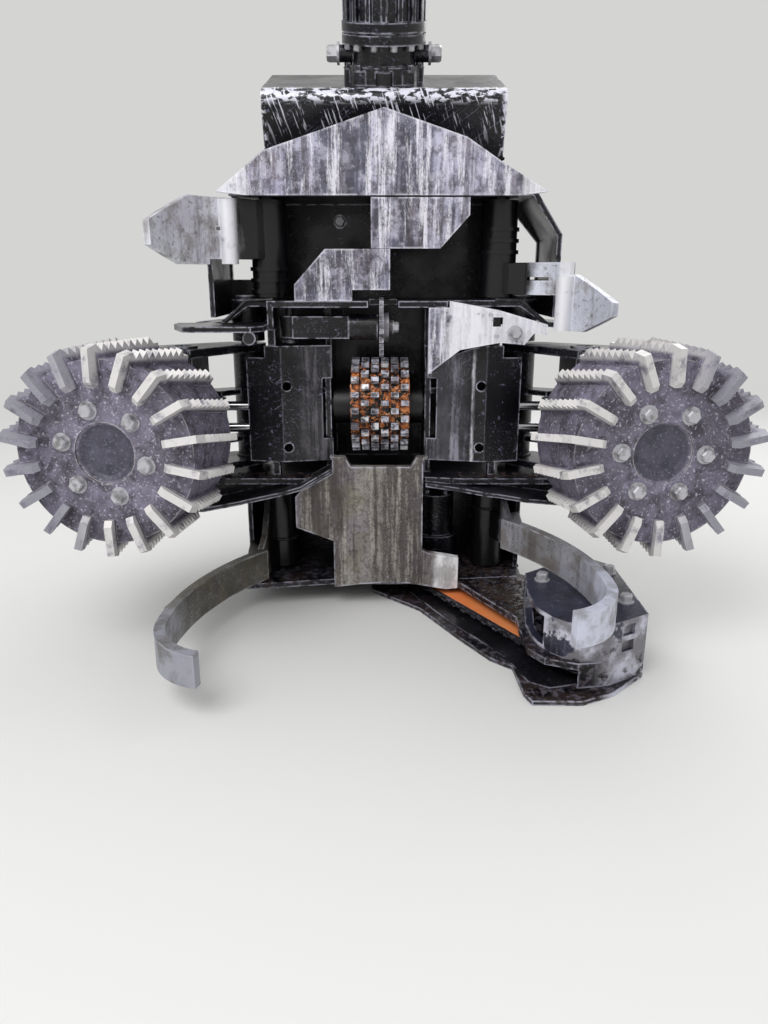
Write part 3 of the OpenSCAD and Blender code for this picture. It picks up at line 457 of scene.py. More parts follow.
black_paint = black("black_paint")
cover_left_paint = black("cover_left_paint",
                         bare_patch(-0.2, -0.11, (0.4, 0.385, 0.41), 0.9, 0.5, edge=0.02))
cover_right_paint = black("cover_right_paint", ridge_and_face)
link_paint = black("link_paint", scraped_rim)
# the block's lighter, bluer base is partly its own paint and partly painted sky reflection on its
# top faces
block_paint = black("block_paint", chipped_walls(0.2), base=(0.21, 0.215, 0.29))
# chips and chain oil fly over the saw's box
saw_box_paint = black("saw_box_paint", chipped_walls(0.42), more=[
    (blotches(24.0, 0.48, 0.05), (0.17, 0.125, 0.115), 0.6, 0.0, 0.8),
    (blotches(70.0, 0.42, 0.04), (0.42, 0.4, 0.44), 0.4, 0.2, 0.6)])


def plate(name, base, start, end):
    return finish_of(name, base, 0.45, 0.1, [
        (blotches(4.0, 0.5, 0.12), (0.52, 0.52, 0.62), 0.5, 0.1, 0.65),
        (blotches(9.0, 0.42, 0.1), (0.52, 0.46, 0.45), 0.5, 0.1, 0.6),
        (streaks(13.0, 0.5), (0.17, 0.18, 0.25), 0.4, 0.1, 0.8),
        (blotches(26.0, 0.46, 0.05), (0.84, 0.83, 0.9), 0.5, 0.1, 0.4),
        (blotches(38.0, 0.44, 0.05), (0.2, 0.185, 0.22), 0.5, 0.1, 0.55),
        (streaks(44.0, 0.42), (0.22, 0.18, 0.19), 0.5, 0.1, 0.65),
        (streaks(58.0, 0.42), (0.97, 0.96, 1.0), 0.4, 0.1, 0.75),
        (blotches(130.0, 0.34, 0.05), (0.24, 0.21, 0.21), 0.5, 0.1, 0.4),
        (scratches(7.0, 0.8), (0.97, 0.96, 1.0), 0.35, 0.2, 0.6),
        (edges(0.008, 28.0), (0.96, 0.96, 1.0), 0.4, 0.2, 0.9)], bump=0.3, dents=0.25,
        extra=rubbed_from(start, end))


worn_plate = plate("worn_plate", (0.8, 0.79, 0.88), 0.29, 0.34)
apron_plate = plate("apron_plate", (0.9, 0.89, 0.95), 0.12, 0.17)
pillar_steel = finish_of("pillar_steel", (0.62, 0.6, 0.57), 0.5, 0.1, [
    (blotches(4.5, 0.5, 0.1), (0.5, 0.465, 0.51), 0.5, 0.1, 0.75),
    (blotches(11.0, 0.4, 0.08), (0.47, 0.46, 0.38), 0.5, 0.1, 0.65),
    (streaks(16.0, 0.5), (0.19, 0.155, 0.16), 0.45, 0.1, 0.72),
    (streaks(60.0, 0.42), (0.22, 0.15, 0.14), 0.5, 0.0, 0.55),
    (streaks(46.0, 0.4), (0.78, 0.76, 0.72), 0.5, 0.0, 0.5),
    (blotches(70.0, 0.4, 0.05), (0.22, 0.18, 0.17), 0.5, 0.1, 0.45),
    (blotches(150.0, 0.38, 0.05), (0.18, 0.15, 0.14), 0.5, 0.1, 0.4),
    (scratches(7.0, 0.8), (0.84, 0.83, 0.86), 0.4, 0.2, 0.55),
    (edges(0.008, 30.0), PALE, 0.4, 0.3, 0.95)], bump=0.3, dents=0.2,
    extra=bare_patch(0.128, 0.3, (0.99, 0.99, 1.0), 1.0, 0.36, top=0.17, edge=0.01))
orange_paint = finish_of("orange_paint", (1.0, 0.62, 0.38), 0.42, 0.0, [
    (blotches(7.0, 0.35, 0.14), (0.9, 0.44, 0.22), 0.5, 0.0, 0.6),
    (scratches(7.0, 0.8), (0.55, 0.25, 0.14), 0.5, 0.0, 0.5)], bump=0.12)

# %% [markdown]
# Knives are bare and silvery towards their hooks, and black with oil near their pins.
# The pins of a pair mirror each other, so the distance is taken from the pin at |x|.

# %% Finishes of the moving pieces
KNIFE_X, KNIFE_Y = 280, 120        # the knives' pins, in millimetres


def from_pin(tree, x, y):
    """Distance in plan, in metres, from an upright line at (|x|, y) in millimetres."""
    at = place_of(tree)
    dx = minus(tree, absolute(tree, at["X"]), x / 1000)
    dy = minus(tree, at["Y"], HEAD_Y + y / 1000)
    return math_node(tree, "SQRT", plus(tree, times(tree, dx, dx), times(tree, dy, dy)))


def oily_hub(tree, under):
    near = plus(tree, from_pin(tree, KNIFE_X, KNIFE_Y), times(tree, noise(tree, 14.0, 5.0), 0.06))
    return laid_on(tree, ramp(tree, near, 0.15, 0.115), (0.075, 0.07, 0.08), under, 0.25, 0.1)


def bright_hook(colour):
    """A lower knife is stained along its arm and rubbed bright at its hook."""
    def add(tree, under):
        y = plus(tree, place_of(tree)["Y"], times(tree, noise(tree, 11.0, 6.0), 0.16))
        spots = ramp(tree, noise(tree, 14.0, 9.0), 0.4, 0.58)
        rubbed = plus(tree, 0.25, times(tree, spots, 0.65))
        cover = times(tree, ramp(tree, y, -0.2, -0.33), rubbed)
        return laid_on(tree, cover, colour, oily_hub(tree, under), 0.4, 0.3)
    return add


def bar_highlight(x, y):
    """Paints a near-white highlight along the round bar in an upper knife's bend."""
    def add(tree, under):
        near = ramp(tree, from_pin(tree, x, y), 0.0245, 0.0215)
        cover = times(tree, near, ramp(tree, noise(tree, 24.0, 7.0), 0.28, 0.44))
        return laid_on(tree, cover, (0.93, 0.93, 0.95), oily_hub(tree, under), 0.4, 0.3)
    return add


def knife(name, base, stain, extra):
    return finish_of(name, base, 0.4, 0.25, [
        (blotches(5.0, 0.52, 0.12), stain, 0.5, 0.1, 0.75),
        (blotches(19.0, 0.42, 0.08), RESIN, 0.45, 0.1, 0.55),
        (streaks(26.0, 0.42), (0.27, 0.25, 0.25), 0.45, 0.1, 0.5),
        (blotches(110.0, 0.34, 0.05), (0.2, 0.18, 0.18), 0.5, 0.1, 0.5),
        (scratches(6.0, 0.9), (0.92, 0.92, 0.95), 0.35, 0.4, 0.7),
        (edges(0.007, 26.0), (0.93, 0.93, 0.96), 0.38, 0.4, 0.95)], bump=0.3, dents=0.2,
        extra=extra)


KNIVES = {name: knife(name, base, stain, extra) for name, base, stain, extra in (
    ("knife_lower_left", (0.44, 0.43, 0.4), (0.22, 0.21, 0.18), bright_hook((0.64, 0.645, 0.69))),
    ("knife_lower_right", (0.72, 0.72, 0.76), (0.42, 0.41, 0.39), bright_hook((0.86, 0.87, 0.94))),
    ("knife_upper_left", (0.96, 0.97, 1.0), (0.74, 0.72, 0.78), bar_highlight(361.1, 31.0)),
    ("knife_upper_right", (0.93, 0.94, 0.99), (0.68, 0.69, 0.74), bar_highlight(417.3, -22.3)))}
pin_steel = finish_of("pin_steel", (0.32, 0.31, 0.34), 0.4, 0.5, [
    (blotches(9.0, 0.5, 0.1), OIL, 0.3, 0.1, 0.8),
    (edges(0.004, 50.0), SILVER, 0.35, 0.7, 0.8)])
chain_steel = finish_of("chain_steel", (0.3, 0.29, 0.32), 0.35, 0.6, [
    (blotches(30.0, 0.5, 0.1), OIL, 0.3, 0.1, 0.8),
    (edges(0.002, 90.0), SILVER, 0.3, 0.7, 0.8)])
rod_chrome = finish_of("rod_chrome", (0.78, 0.78, 0.8), 0.16, 1.0, [
    (blotches(14.0, 0.25, 0.06), (0.25, 0.22, 0.2), 0.4, 0.2, 0.5)], bump=0.05)
zinc = finish_of("zinc", (0.8, 0.8, 0.82), 0.4, 0.35, [
    (blotches(40.0, 0.42, 0.1), (0.3, 0.28, 0.27), 0.5, 0.2, 0.7)], bump=0.15)
wheel_steel = finish_of("wheel_steel", (0.6, 0.59, 0.62), 0.4, 0.5, [
    (blotches(30.0, 0.45, 0.1), (0.2, 0.17, 0.15), 0.4, 0.1, 0.8),
    (edges(0.003, 70.0), PALE, 0.35, 0.6, 0.9)], bump=0.3)
weld_steel = finish_of("weld_steel", (0.13, 0.12, 0.135), 0.4, 0.2, [
    (blotches(60.0, 0.4, 0.1), (0.36, 0.34, 0.37), 0.45, 0.3, 0.6)], bump=0.3)
wood = finish_of("wood_chips", (0.8, 0.5, 0.29), 0.85, 0.0, [
    (blotches(90.0, 0.5, 0.1), (0.46, 0.2, 0.1), 0.9, 0.0, 0.9),
    (blotches(50.0, 0.3, 0.1), (0.93, 0.8, 0.62), 0.8, 0.0, 0.8)], bump=0.5)
bark = finish_of("bark_litter", (0.24, 0.165, 0.13), 0.9, 0.0, [
    (blotches(70.0, 0.5, 0.1), (0.11, 0.085, 0.08), 0.9, 0.0, 0.9),
    (blotches(110.0, 0.3, 0.1), (0.44, 0.35, 0.28), 0.8, 0.0, 0.6)], bump=0.5)

# %% [markdown]
# The rollers are dull between their blades and polished at the blades' tips, so their
# finish follows the distance from the roller's own axis. A Mapping node turns the
# Object coordinates into the roller's own.

# %% Finishes of the rollers
SPLAY = radians(8)
CENTRE_AT = (0.0, HEAD_Y + 0.098, 0.507)
BLADE_TIPS = (0.202, 0.213)        # from the axis: where the polish starts and is full
DISH_RIM = (0.063, 0.059)


def roller_at(side):
    """The middle of a feed roller's front."""
    return Vector((side * 0.584, HEAD_Y - 0.3, 0.466))


def own_place(tree, at, turn):
    """Object coordinates from a point, turned back about the upright."""
    moved = vector_node(tree, "SUBTRACT", {0: coordinates(tree), 1: at})
    return output_of(tree, "ShaderNodeMapping", {"Vector": moved, "Rotation": (0, 0, -turn)})


def from_axis(tree, place, flat):
    """Distance from an axis; flat has a 0 for the axis' own direction."""
    across = vector_node(tree, "MULTIPLY", {0: place, 1: flat})
    return vector_node(tree, "LENGTH", {0: across}, "Value")


def blade_layer(at, turn):
    def add(tree, under):
        place = own_place(tree, at, turn)
        radius = from_axis(tree, place, (1, 0, 1))
        proud = ramp(tree, apart(tree, place)["Y"], -0.002, -0.012)
        tip = ramp(tree, radius, *BLADE_TIPS)
        worn = times(tree, larger(tree, proud, tip), ramp(tree, noise(tree, 30.0, 5.0), 0.25, 0.5))
        # brightest towards the stem, where the blades grip it
        out = plus(tree, absolute(tree, place_of(tree)["X"]),
                   times(tree, noise(tree, 4.0, 2.0), 0.16))
        grip = mix_colour(tree, ramp(tree, out, 0.64, 0.76), linear((0.89, 0.88, 0.87)),
                          linear((0.6, 0.6, 0.64)))
        dish = times(tree, ramp(tree, radius, *DISH_RIM), 0.7)
        under = laid_on(tree, dish, (0.2, 0.21, 0.27), under, 0.4, 0.2)
        return laid_on(tree, times(tree, worn, 0.88), grip, under, 0.5, 0.15)
    return add


def roller_finish(name, side):
    return finish_of(name, (0.43, 0.41, 0.47), 0.65, 0.1, [
        (blotches(12.0, 0.5, 0.12), (0.55, 0.53, 0.61), 0.7, 0.1, 0.7),
        (blotches(26.0, 0.4, 0.08), (0.19, 0.17, 0.2), 0.5, 0.1, 0.75),
        (blotches(60.0, 0.44, 0.08), (0.28, 0.26, 0.3), 0.7, 0.1, 0.4),
        (blotches(170.0, 0.34, 0.05), (0.86, 0.85, 0.92), 0.7, 0.0, 0.6),
        (scratches(12.0, 0.8), (0.76, 0.74, 0.76), 0.5, 0.2, 0.6),
        (edges(0.004, 40.0), (0.86, 0.85, 0.84), 0.45, 0.3, 0.9)],
        bump=0.6, grain=140.0, dents=0.35, extra=blade_layer(roller_at(side), side * SPLAY))


def stud_layer(tree, under):
    """Rubbed stud tips over a core darkened partly by oil and partly by painted shade between the
    studs, with resin and wood pressed between the studs.
    """
    place = own_place(tree, CENTRE_AT, 0)
    near = from_axis(tree, place, (0, 1, 1))
    x = apart(tree, place)["X"]
    studded = times(tree, ramp(tree, x, -0.086, -0.082), ramp(tree, x, 0.066, 0.062))
    core = times(tree, studded, ramp(tree, near, 0.108, 0.101))
    oil_and_shade = ramp(tree, near, 0.109, 0.104)
    colour = mix_colour(tree, oil_and_shade, under[0], linear((0.07, 0.06, 0.07)))
    woody = times(tree, core, ramp(tree, noise(tree, 46.0, 8.0), 0.51, 0.56))
    tint = mix_colour(tree, ramp(tree, noise(tree, 110.0, 6.0), 0.36, 0.62),
                      linear((0.26, 0.1, 0.06)), linear((0.92, 0.58, 0.34)))
    return (mix_colour(tree, woody, colour, tint), mix_number(tree, core, under[1], 0.5),
            mix_number(tree, core, under[2], 0.0))


roller_steel_left = roller_finish("roller_steel_left", -1)
roller_steel_right = roller_finish("roller_steel_right", 1)
stud_steel = finish_of("stud_steel", (0.88, 0.88, 0.94), 0.36, 0.2, [
    # the dark patches are partly oil and partly painted shade on the studs
    (blotches(16.0, 0.5, 0.1), (0.25, 0.23, 0.26), 0.35, 0.1, 0.85),
    (blotches(70.0, 0.46, 0.06), (0.12, 0.1, 0.11), 0.35, 0.1, 0.85),
    # the white patches are painted glints
    (blotches(34.0, 0.38, 0.06), (1.0, 1.0, 1.0), 0.35, 0.1, 0.8),
    (edges(0.003, 70.0), PALE, 0.35, 0.5, 0.7)], bump=0.5, extra=stud_layer)
print("finishes", len(bpy.data.materials))

# %% [markdown]
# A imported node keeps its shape; only its material slots are filled. The table lists
# the nodes that differ from the black of the rest.

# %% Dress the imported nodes
DRESS = {
    worn_plate: "roof_plate rub_plates",
    apron_plate: "apron",
    pillar_steel: "front_pillar",
    cover_left_paint: "cover_left",
    cover_right_paint: "cover_right",
    link_paint: "link_box",
    block_paint: "saw_end_block",
    saw_box_paint: "saw_box base_deck",
    roller_steel_left: "feed_roller_left",
    roller_steel_right: "feed_roller_right",
    stud_steel: "centre_roller",
    wheel_steel: "measuring_wheel",
    pin_steel: "frame_pins",
    orange_paint: "saw_bar",
    chain_steel: "saw_chain",
    rod_chrome: "feed_rod_left feed_rod_right tilt_rod",
}
material_of = {node: m for m, nodes in DRESS.items() for node in nodes.split()} | KNIVES
for name, obj in frame["nodes"].items():
    obj.data.materials.clear()
    obj.data.materials.append(material_of.get(name, black_paint))
print("dressed", len(frame["nodes"]), "nodes,", len(material_of), "not black")

# %% [markdown]
# Bolts, welds, chips and cutters repeat, so Geometry Nodes make them. A tree is built
# with named inputs; its result is turned into a plain mesh before it rides on a body.

# %% Helpers for Geometry Nodes
def start_geometry(name, inputs):
    tree = bpy.data.node_groups.new(name, "GeometryNodeTree")
    tree.interface.new_socket("Geometry", in_out="INPUT", socket_type="NodeSocketGeometry")
    add_inputs(tree, inputs)
    tree.interface.new_socket("Geometry", in_out="OUTPUT", socket_type="NodeSocketGeometry")
    return tree, tree.nodes.new("NodeGroupInput").outputs


def end_geometry(tree, geometry, material):
    real = output_of(tree, "GeometryNodeRealizeInstances", {0: geometry})
    done = output_of(tree, "GeometryNodeSetMaterial", {"Geometry": real, "Material": material})
    add_node(tree, "NodeGroupOutput", {"Geometry": done})
    return tree


def grown(bm, tree, name, body, values, smooth=30):
    """Runs the tree on a bmesh and keeps the result as a plain mesh piece."""
    base = object_from("base", bm)
    modifier = base.modifiers.new("grow", "NODES")
    modifier.node_group = tree
    for item in tree.interface.items_tree:
        if item.item_type == "SOCKET" and item.in_out == "INPUT" and item.name in values:
            modifier[item.identifier] = values[item.name]
    view = bpy.context.evaluated_depsgraph_get()
    mesh = bpy.data.meshes.new_from_object(base.evaluated_get(view), depsgraph=view)
    bpy.data.objects.remove(base)
    mesh.name = name
    shade_smooth(mesh, smooth)
    obj = in_scene(name, mesh)
    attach(obj, body)
    print(name, len(mesh.polygons), "faces on", body)


# %% [markdown]
# A bolt is a hexagonal head with a chamfered crown on a washer. Each bolt's place is
# a small square that faces the way the bolt points, and a head is set on each.

# %% Bolts
def build_bolt_tree(material):
    tree, put = start_geometry("bolts", {"Across Flats": 0.024, "Head": 0.014, "Washer": 0.003})
    corner = times(tree, put["Across Flats"], 0.577)
    disc = times(tree, corner, 1.28)
    crown = times(tree, corner, 0.84)
    chamfer = times(tree, put["Head"], 0.25)
    on_head = plus(tree, put["Washer"], put["Head"])
    parts = []
    for sides, low_r, high_r, low, tall in ((20, disc, disc, 0.0, put["Washer"]),
                                            (6, corner, corner, put["Washer"], put["Head"]),
                                            (6, corner, crown, on_head, chamfer)):
        cone = output_of(tree, "GeometryNodeMeshCone",
                         {"Vertices": sides, "Radius Top": high_r, "Radius Bottom": low_r,
                          "Depth": tall}, "Mesh")
        lift = output_of(tree, "ShaderNodeCombineXYZ", {"Z": low})
        parts.append(output_of(tree, "GeometryNodeTransform",
                               {"Geometry": cone, "Translation": lift}))
    whole = tree.nodes.new("GeometryNodeJoinGeometry")
    for part in reversed(parts):
        feed(tree, whole, {0: part})
    kept = add_node(tree, "GeometryNodeCaptureAttribute", {"Geometry": put["Geometry"]},
                    domain="FACE")
    kept.capture_items.new("VECTOR", "Normal")
    feed(tree, kept, {1: output_of(tree, "GeometryNodeInputNormal")})
    seats = output_of(tree, "GeometryNodeMeshToPoints", {"Mesh": kept.outputs[0]}, mode="FACES")
    turn = output_of(tree, "FunctionNodeAlignRotationToVector", {"Vector": kept.outputs[1]},
                     axis="Z")
    heads = output_of(tree, "GeometryNodeInstanceOnPoints",
                      {"Points": seats, "Instance": whole.outputs[0], "Rotation": turn})
    return end_geometry(tree, heads, material)


def bolts(name, body, places, flats, head_tall, washer=3, tree=None):
    """places is a list of (point, direction); the sizes are in millimetres."""
    bm = bmesh.new()
    for at, facing in places:
        turn = Vector(facing).to_track_quat("Z", "Y").to_matrix()
        bm.faces.new([bm.verts.new(at + turn @ Vector((u * 0.001, v * 0.001, 0)))
                      for u, v in ((-1, -1), (1, -1), (1, 1), (-1, 1))])
    grown(bm, tree or BOLTS, name, body,
          {"Across Flats": flats / 1000, "Head": head_tall / 1000, "Washer": washer / 1000})


def ring(centre, axis, radius, count, first=0.0):
    """Places round an axis, all facing along it; the radius is in millimetres."""
    turn = Vector(axis).to_track_quat("Z", "Y").to_matrix()
    return [(centre + turn @ Vector((cos(a), sin(a), 0)) * radius / 1000, axis)
            for a in (radians(first + 360 * i / count) for i in range(count))]


def on_link(x, back, up):
    """A place in millimetres beside the tilt link's pivot, along the leaning link."""
    return head(x, LINK_Y + back * cos(LEAN) - up * sin(LEAN),
                LINK_Z + back * sin(LEAN) + up * cos(LEAN))


def roller_point(side, x, y, z):
    """A place in a feed roller's own frame, in millimetres, y along its axis to the arm."""
    turn = Matrix.Rotation(side * SPLAY, 3, "Z")
    return roller_at(side) + turn @ Vector((side * x, y, z)) / 1000


UP, FRONT, BACK = Vector((0, 0, 1)), Vector((0, -1, 0)), Vector((0, 1, 0))
LINK_UP = Vector((0, -sin(LEAN), cos(LEAN)))
FOOT_TOP, NECK_TALL = 758, 44      # up the link to the rotator's foot, and its neck above
NECK_TOP = FOOT_TOP + NECK_TALL
BOLTS, BLACK_BOLTS = build_bolt_tree(zinc), build_bolt_tree(pin_steel)

for side, label, first in ((-1, "left", 44), (1, "right", 33)):
    facing = Matrix.Rotation(side * SPLAY, 3, "Z") @ FRONT
    hub = [(roller_point(side, 94 * sin(a) * side, 0, 94 * cos(a)), facing)
           for a in (radians(60 * i + first) for i in range(6))]
    bolts("roller_bolts_" + label, "roller_" + label, hub, 27, 12)
    bolts("motor_bolts_" + label, "arm_" + label,
          ring(roller_point(side, 0, 274, 0), -facing, 78, 8)
          + ring(roller_point(side, 0, 336, 0), -facing, 52, 6, 30), 16, 9, 2, BLACK_BOLTS)
    bolts("motor_ports_" + label, "arm_" + label,
          [(roller_point(side, x, 305, 64), UP) for x in (-24, 24)], 30, 16, 5)

bolts("frame_bolts", "frame",
      [(head(311, 0, 692), FRONT), (head(-115, 280, 957), FRONT), (head(115, 280, 957), FRONT),
       (head(532, -170, 148), UP), (head(522, -340, 148), UP), (head(366, -214, 148), UP),
       (head(430, -428, 148), UP)], 24, 13)
bolts("hatch_bolts", "frame",
      [(head(x, 451, z), BACK) for x in (-190, 190) for z in (225, 340, 460, 580, 665)], 18, 10, 2,
      BLACK_BOLTS)
bolts("saw_motor_bolts", "frame", ring(head(140, 144, 262), UP, 34, 4, 45), 14, 8, 2, BLACK_BOLTS)
bolts("pin_lock_bolts", "frame",
      [(head(s * KNIFE_X + dx, KNIFE_Y, 1037), UP) for s in (-1, 1) for dx in (-19, 19)], 14, 8, 1)
bolts("rotator_foot_bolts", "link", ring(on_link(0, 0, FOOT_TOP - 8), LINK_UP, 87, 8), 17, 9, 1,
      BLACK_BOLTS)
bolts("rotator_ports", "link",
      [(on_link(s * 108, 0, FOOT_TOP + NECK_TALL / 2), Vector((s, 0, 0))) for s in (-1, 1)],
      34, 20, 6)
bolts("tilt_pin_bolts", "link",
      [place for s in (-1, 1) for place in ring(on_link(s * 302, 0, 0), Vector((s, 0, 0)), 17, 3)],
      13, 7, 1, BLACK_BOLTS)
bolts("flange_bolts", "rotator",
      ring(on_link(0, 0, NECK_TOP + 0.3), -LINK_UP, 89.5, 12, 15), 14, 9, 1)
bolts("cap_bolts", "rotator", ring(on_link(0, 0, NECK_TOP + 111.3), LINK_UP, 80, 6, 60), 14, 8, 1,
      BLACK_BOLTS)
bolts("wheel_nut", "measuring_arm", [(head(21.3, 38, 703), Vector((1, 0, 0)))], 22, 10, 2)

# %% [markdown]
# Small plates, pins and caps are boxes and cylinders with rounded edges.

# %% Lock plates, pins, caps and nipples
def rounded(bm, rims, width):
    bmesh.ops.bevel(bm, geom=rims, offset=width / 1000, segments=2, affect="EDGES")


def tube(radius, length, sides, closed):
    """A cylinder about Z, in metres."""
    bm = bmesh.new()
    bmesh.ops.create_cone(bm, cap_ends=closed, segments=sides, radius1=radius, radius2=radius,
                          depth=length)
    return bm


def add_box(name, body, centre, size, material):
    bm = bmesh.new()
    bmesh.ops.create_cube(bm, size=1)
    bmesh.ops.scale(bm, vec=Vector(size) / 1000, verts=bm.verts)
    rounded(bm, bm.edges[:], 1.5)
    bm.transform(Matrix.Translation(centre))
    add_piece(name, bm, material, body)


def add_rod(name, body, start, end, radius, material, soft=1.5):
    """A round bar between two points, with its rims rounded."""
    along = end - start
    bm = tube(radius / 1000, along.length, 28, True)
    rounded(bm, [e for e in bm.edges if abs(e.verts[0].co.z - e.verts[1].co.z) < 1e-7], soft)
    turn = along.to_track_quat("Z", "Y").to_matrix().to_4x4()
    bm.transform(Matrix.Translation((start + end) / 2) @ turn)
    add_piece(name, bm, material, body)


ARM_X, ARM_Y = 345, 140            # the feed arms' pins, in millimetres

for s, label in ((-1, "left"), (1, "right")):
    x = s * KNIFE_X
    add_box("pin_lock_" + label, "frame", head(x, KNIFE_Y, 1033), (62, 22, 8), black_paint)
    add_rod("nipple_" + label, "frame", head(x, 148, 1028), head(x, 148, 1040), 4, zinc, 1)
    add_rod("tilt_cap_" + label, "link", on_link(s * 300, 0, 0), on_link(s * 303, 0, 0), 36,
            pin_steel, 1)
    x = s * ARM_X
    add_rod("arm_cap_" + label, "frame", head(x, ARM_Y, 764), head(x, ARM_Y, 775), 32, pin_steel)
add_rod("wing_pin", "frame", head(-305, -97, 686), head(-305, -60, 686), 15, pin_steel)

# %% [markdown]
# Weld beads run where plates meet. Each line is resampled every few millimetres and
# swept by a small circle, and noise pushes the surface into ripples.

# %% Welds
def build_weld_tree(material):
    tree, put = start_geometry("weld", {"Radius": 0.0045, "Step": 0.005, "Roughen": 0.002})
    line = output_of(tree, "GeometryNodeMeshToCurve", {"Mesh": put["Geometry"]})
    line = output_of(tree, "GeometryNodeResampleCurve", {"Curve": line, "Length": put["Step"]},
                     mode="LENGTH")
    circle = output_of(tree, "GeometryNodeCurvePrimitiveCircle",
                       {"Resolution": 7, "Radius": put["Radius"]})
    bead = output_of(tree, "GeometryNodeCurveToMesh",
                     {"Curve": line, "Profile Curve": circle, "Fill Caps": True})
    bumps = output_of(tree, "ShaderNodeTexNoise", {"Scale": 160.0, "Detail": 2.0}, "Color")
    centred = vector_node(tree, "SUBTRACT", {0: bumps, 1: (0.5, 0.5, 0.5)})
    push = vector_node(tree, "SCALE", {0: centred, "Scale": put["Roughen"]})
    rough = output_of(tree, "GeometryNodeSetPosition", {"Geometry": bead, "Offset": push})
    return end_geometry(tree, rough, material)


def open_line(bm, points):
    corners = [bm.verts.new(p) for p in points]
    for a, b in zip(corners, corners[1:]):
        bm.edges.new((a, b))
    return corners


def welds(name, body, lines, radius=4.5, place=head, closed=False):
    """lines holds lists of points in millimetres, which place turns into the frame's."""
    bm = bmesh.new()
    for line in lines:
        corners = open_line(bm, [place(*p) for p in line])
        if closed:
            bm.edges.new((corners[-1], corners[0]))
    grown(bm, WELD, name, body, {"Radius": radius / 1000}, 60)


def circle_line(x, y, z, radius, count=20):
    turns = [tau * i / count for i in range(count)]
    return [(x + radius * cos(a), y + radius * sin(a), z) for a in turns]


WELD = build_weld_tree(weld_steel)
frame_lines = []
for s in (-1, 1):
    frame_lines += [
        [(s * 421, 281, 745), (s * 421, 281, 912), (s * 353, 281, 1012)],
        [(s * 237, 293, 20), (s * 237, 293, 925)],
        [(s * 363, 96, 326), (s * 363, 278, 326)],
        [(s * 363, 96, 64), (s * 363, 278, 64)],
        [(s * 390, 62, 711), (s * 335, 62, 764), (s * 270, 62, 766)],
    ]
for x in (-250, -90, 90, 250):
    for side in (x - 6, x + 6):
        frame_lines += [[(side, 21, 1018), (side, 21, 1050)], [(side, 26, 1016), (side, 49, 1016)]]
frame_lines += [[(-308, 50, 1016), (308, 50, 1016)],
                [(-147, 56, 341), (-147, 240, 341)],
                [(117, 56, 341), (117, 240, 341)],
                [(388, -452, 66), (458, -442, 66), (540, -394, 66)]]
welds("frame_welds", "frame", frame_lines)
welds("link_welds", "link", [[(s * 291, -132, 570), (s * 291, 132, 570)] for s in (-1, 1)],
      place=on_link)
for s, label, lower_z in ((-1, "left", 147), (1, "right", 231)):
    welds("knife_lower_weld_" + label, "knife_lower_" + label,
          [circle_line(s * KNIFE_X, KNIFE_Y, lower_z, 45)], 4, closed=True)
    welds("arm_weld_" + label, "arm_" + label,
          [circle_line(s * ARM_X, ARM_Y, z, 43) for z in (370, 636)], 4, closed=True)

# %% [markdown]
# Shredded wood sticks between the studs of the centre roller, and bark and chips lie
# on the decks. Points are spread over a base surface, thicker in patches, and a thin
# sliver of random size and turn lies on each.

# %% Chips and litter
def build_chip_tree(material):
    tree, put = start_geometry("chips", {"Density": 9000.0, "Length": 0.012, "Patch Scale": 14.0,
                                         "Seed": 3})
    patch = output_of(tree, "ShaderNodeTexNoise", {"Scale": put["Patch Scale"], "Detail": 3.0})
    thick = output_of(tree, "ShaderNodeMapRange",
                      {"Value": patch, "From Min": 0.45, "From Max": 0.62}, "Result")
    density, seed = times(tree, thick, put["Density"]), put["Seed"]
    spread = add_node(tree, "GeometryNodeDistributePointsOnFaces",
                      {"Mesh": put["Geometry"], "Density": density, "Seed": seed}).outputs
    size, spin = [output_of(tree, "FunctionNodeRandomValue", {0: low, 1: high, "Seed": seed},
                            data_type="FLOAT_VECTOR")
                  for low, high in (((0.35, 0.1, 0.04), (1.0, 0.3, 0.1)),
                                    ((-0.16, -0.16, -3.1), (0.16, 0.16, 3.1)))]
    scale = vector_node(tree, "SCALE", {0: size, "Scale": put["Length"]})
    turned = output_of(tree, "FunctionNodeEulerToRotation", {0: spin})
    turn = output_of(tree, "FunctionNodeRotateRotation",
                     {"Rotation": spread["Rotation"], "Rotate By": turned},
                     rotation_space="LOCAL")
    sliver = output_of(tree, "GeometryNodeMeshCube", {"Size": (1, 1, 1)})
    chips = output_of(tree, "GeometryNodeInstanceOnPoints",
                      {"Points": spread["Points"], "Instance": sliver, "Rotation": turn,
                       "Scale": scale})
    return end_geometry(tree, chips, material)


def flat_base(outlines):
    """Level faces to strew on; outlines are corners in millimetres, with one height."""
    bm = bmesh.new()
    for z, corners in outlines:
        bm.faces.new([bm.verts.new(head(x, y, z)) for x, y in corners])
    return bm


def core_base():
    """The centre roller's drum, whose middle lies a little to the left."""
    radius, width, x = 0.1025, 0.138, -0.01
    bm = tube(radius, width, 48, False)
    turn = Matrix.Rotation(pi / 2, 4, "Y")
    bm.transform(Matrix.Translation((x, CENTRE_AT[1], CENTRE_AT[2])) @ turn)
    return bm


WOOD_CHIPS, LITTER = build_chip_tree(wood), build_chip_tree(bark)
grown(core_base(), WOOD_CHIPS, "roller_chips", "centre_roller",
      {"Density": 26000.0, "Length": 0.013, "Patch Scale": 17.0})
grown(flat_base([(65.4, [(105, 6), (340, 24), (340, 240), (105, 240)]),
                 (65.4, [(312, -230), (400, -30), (330, 10), (215, -12)]),
                 (340.4, [(-420, -8), (-190, -8), (-190, 40), (-400, 40)]),
                 (340.4, [(190, -8), (420, -8), (400, 40), (190, 40)])]),
      LITTER, "deck_litter", "frame", {"Density": 14000.0, "Length": 0.016, "Patch Scale": 9.0})

# %% [markdown]
# The chain's cutters stand along the edge of the bar, turned with the chain and set
# left and right in turn.

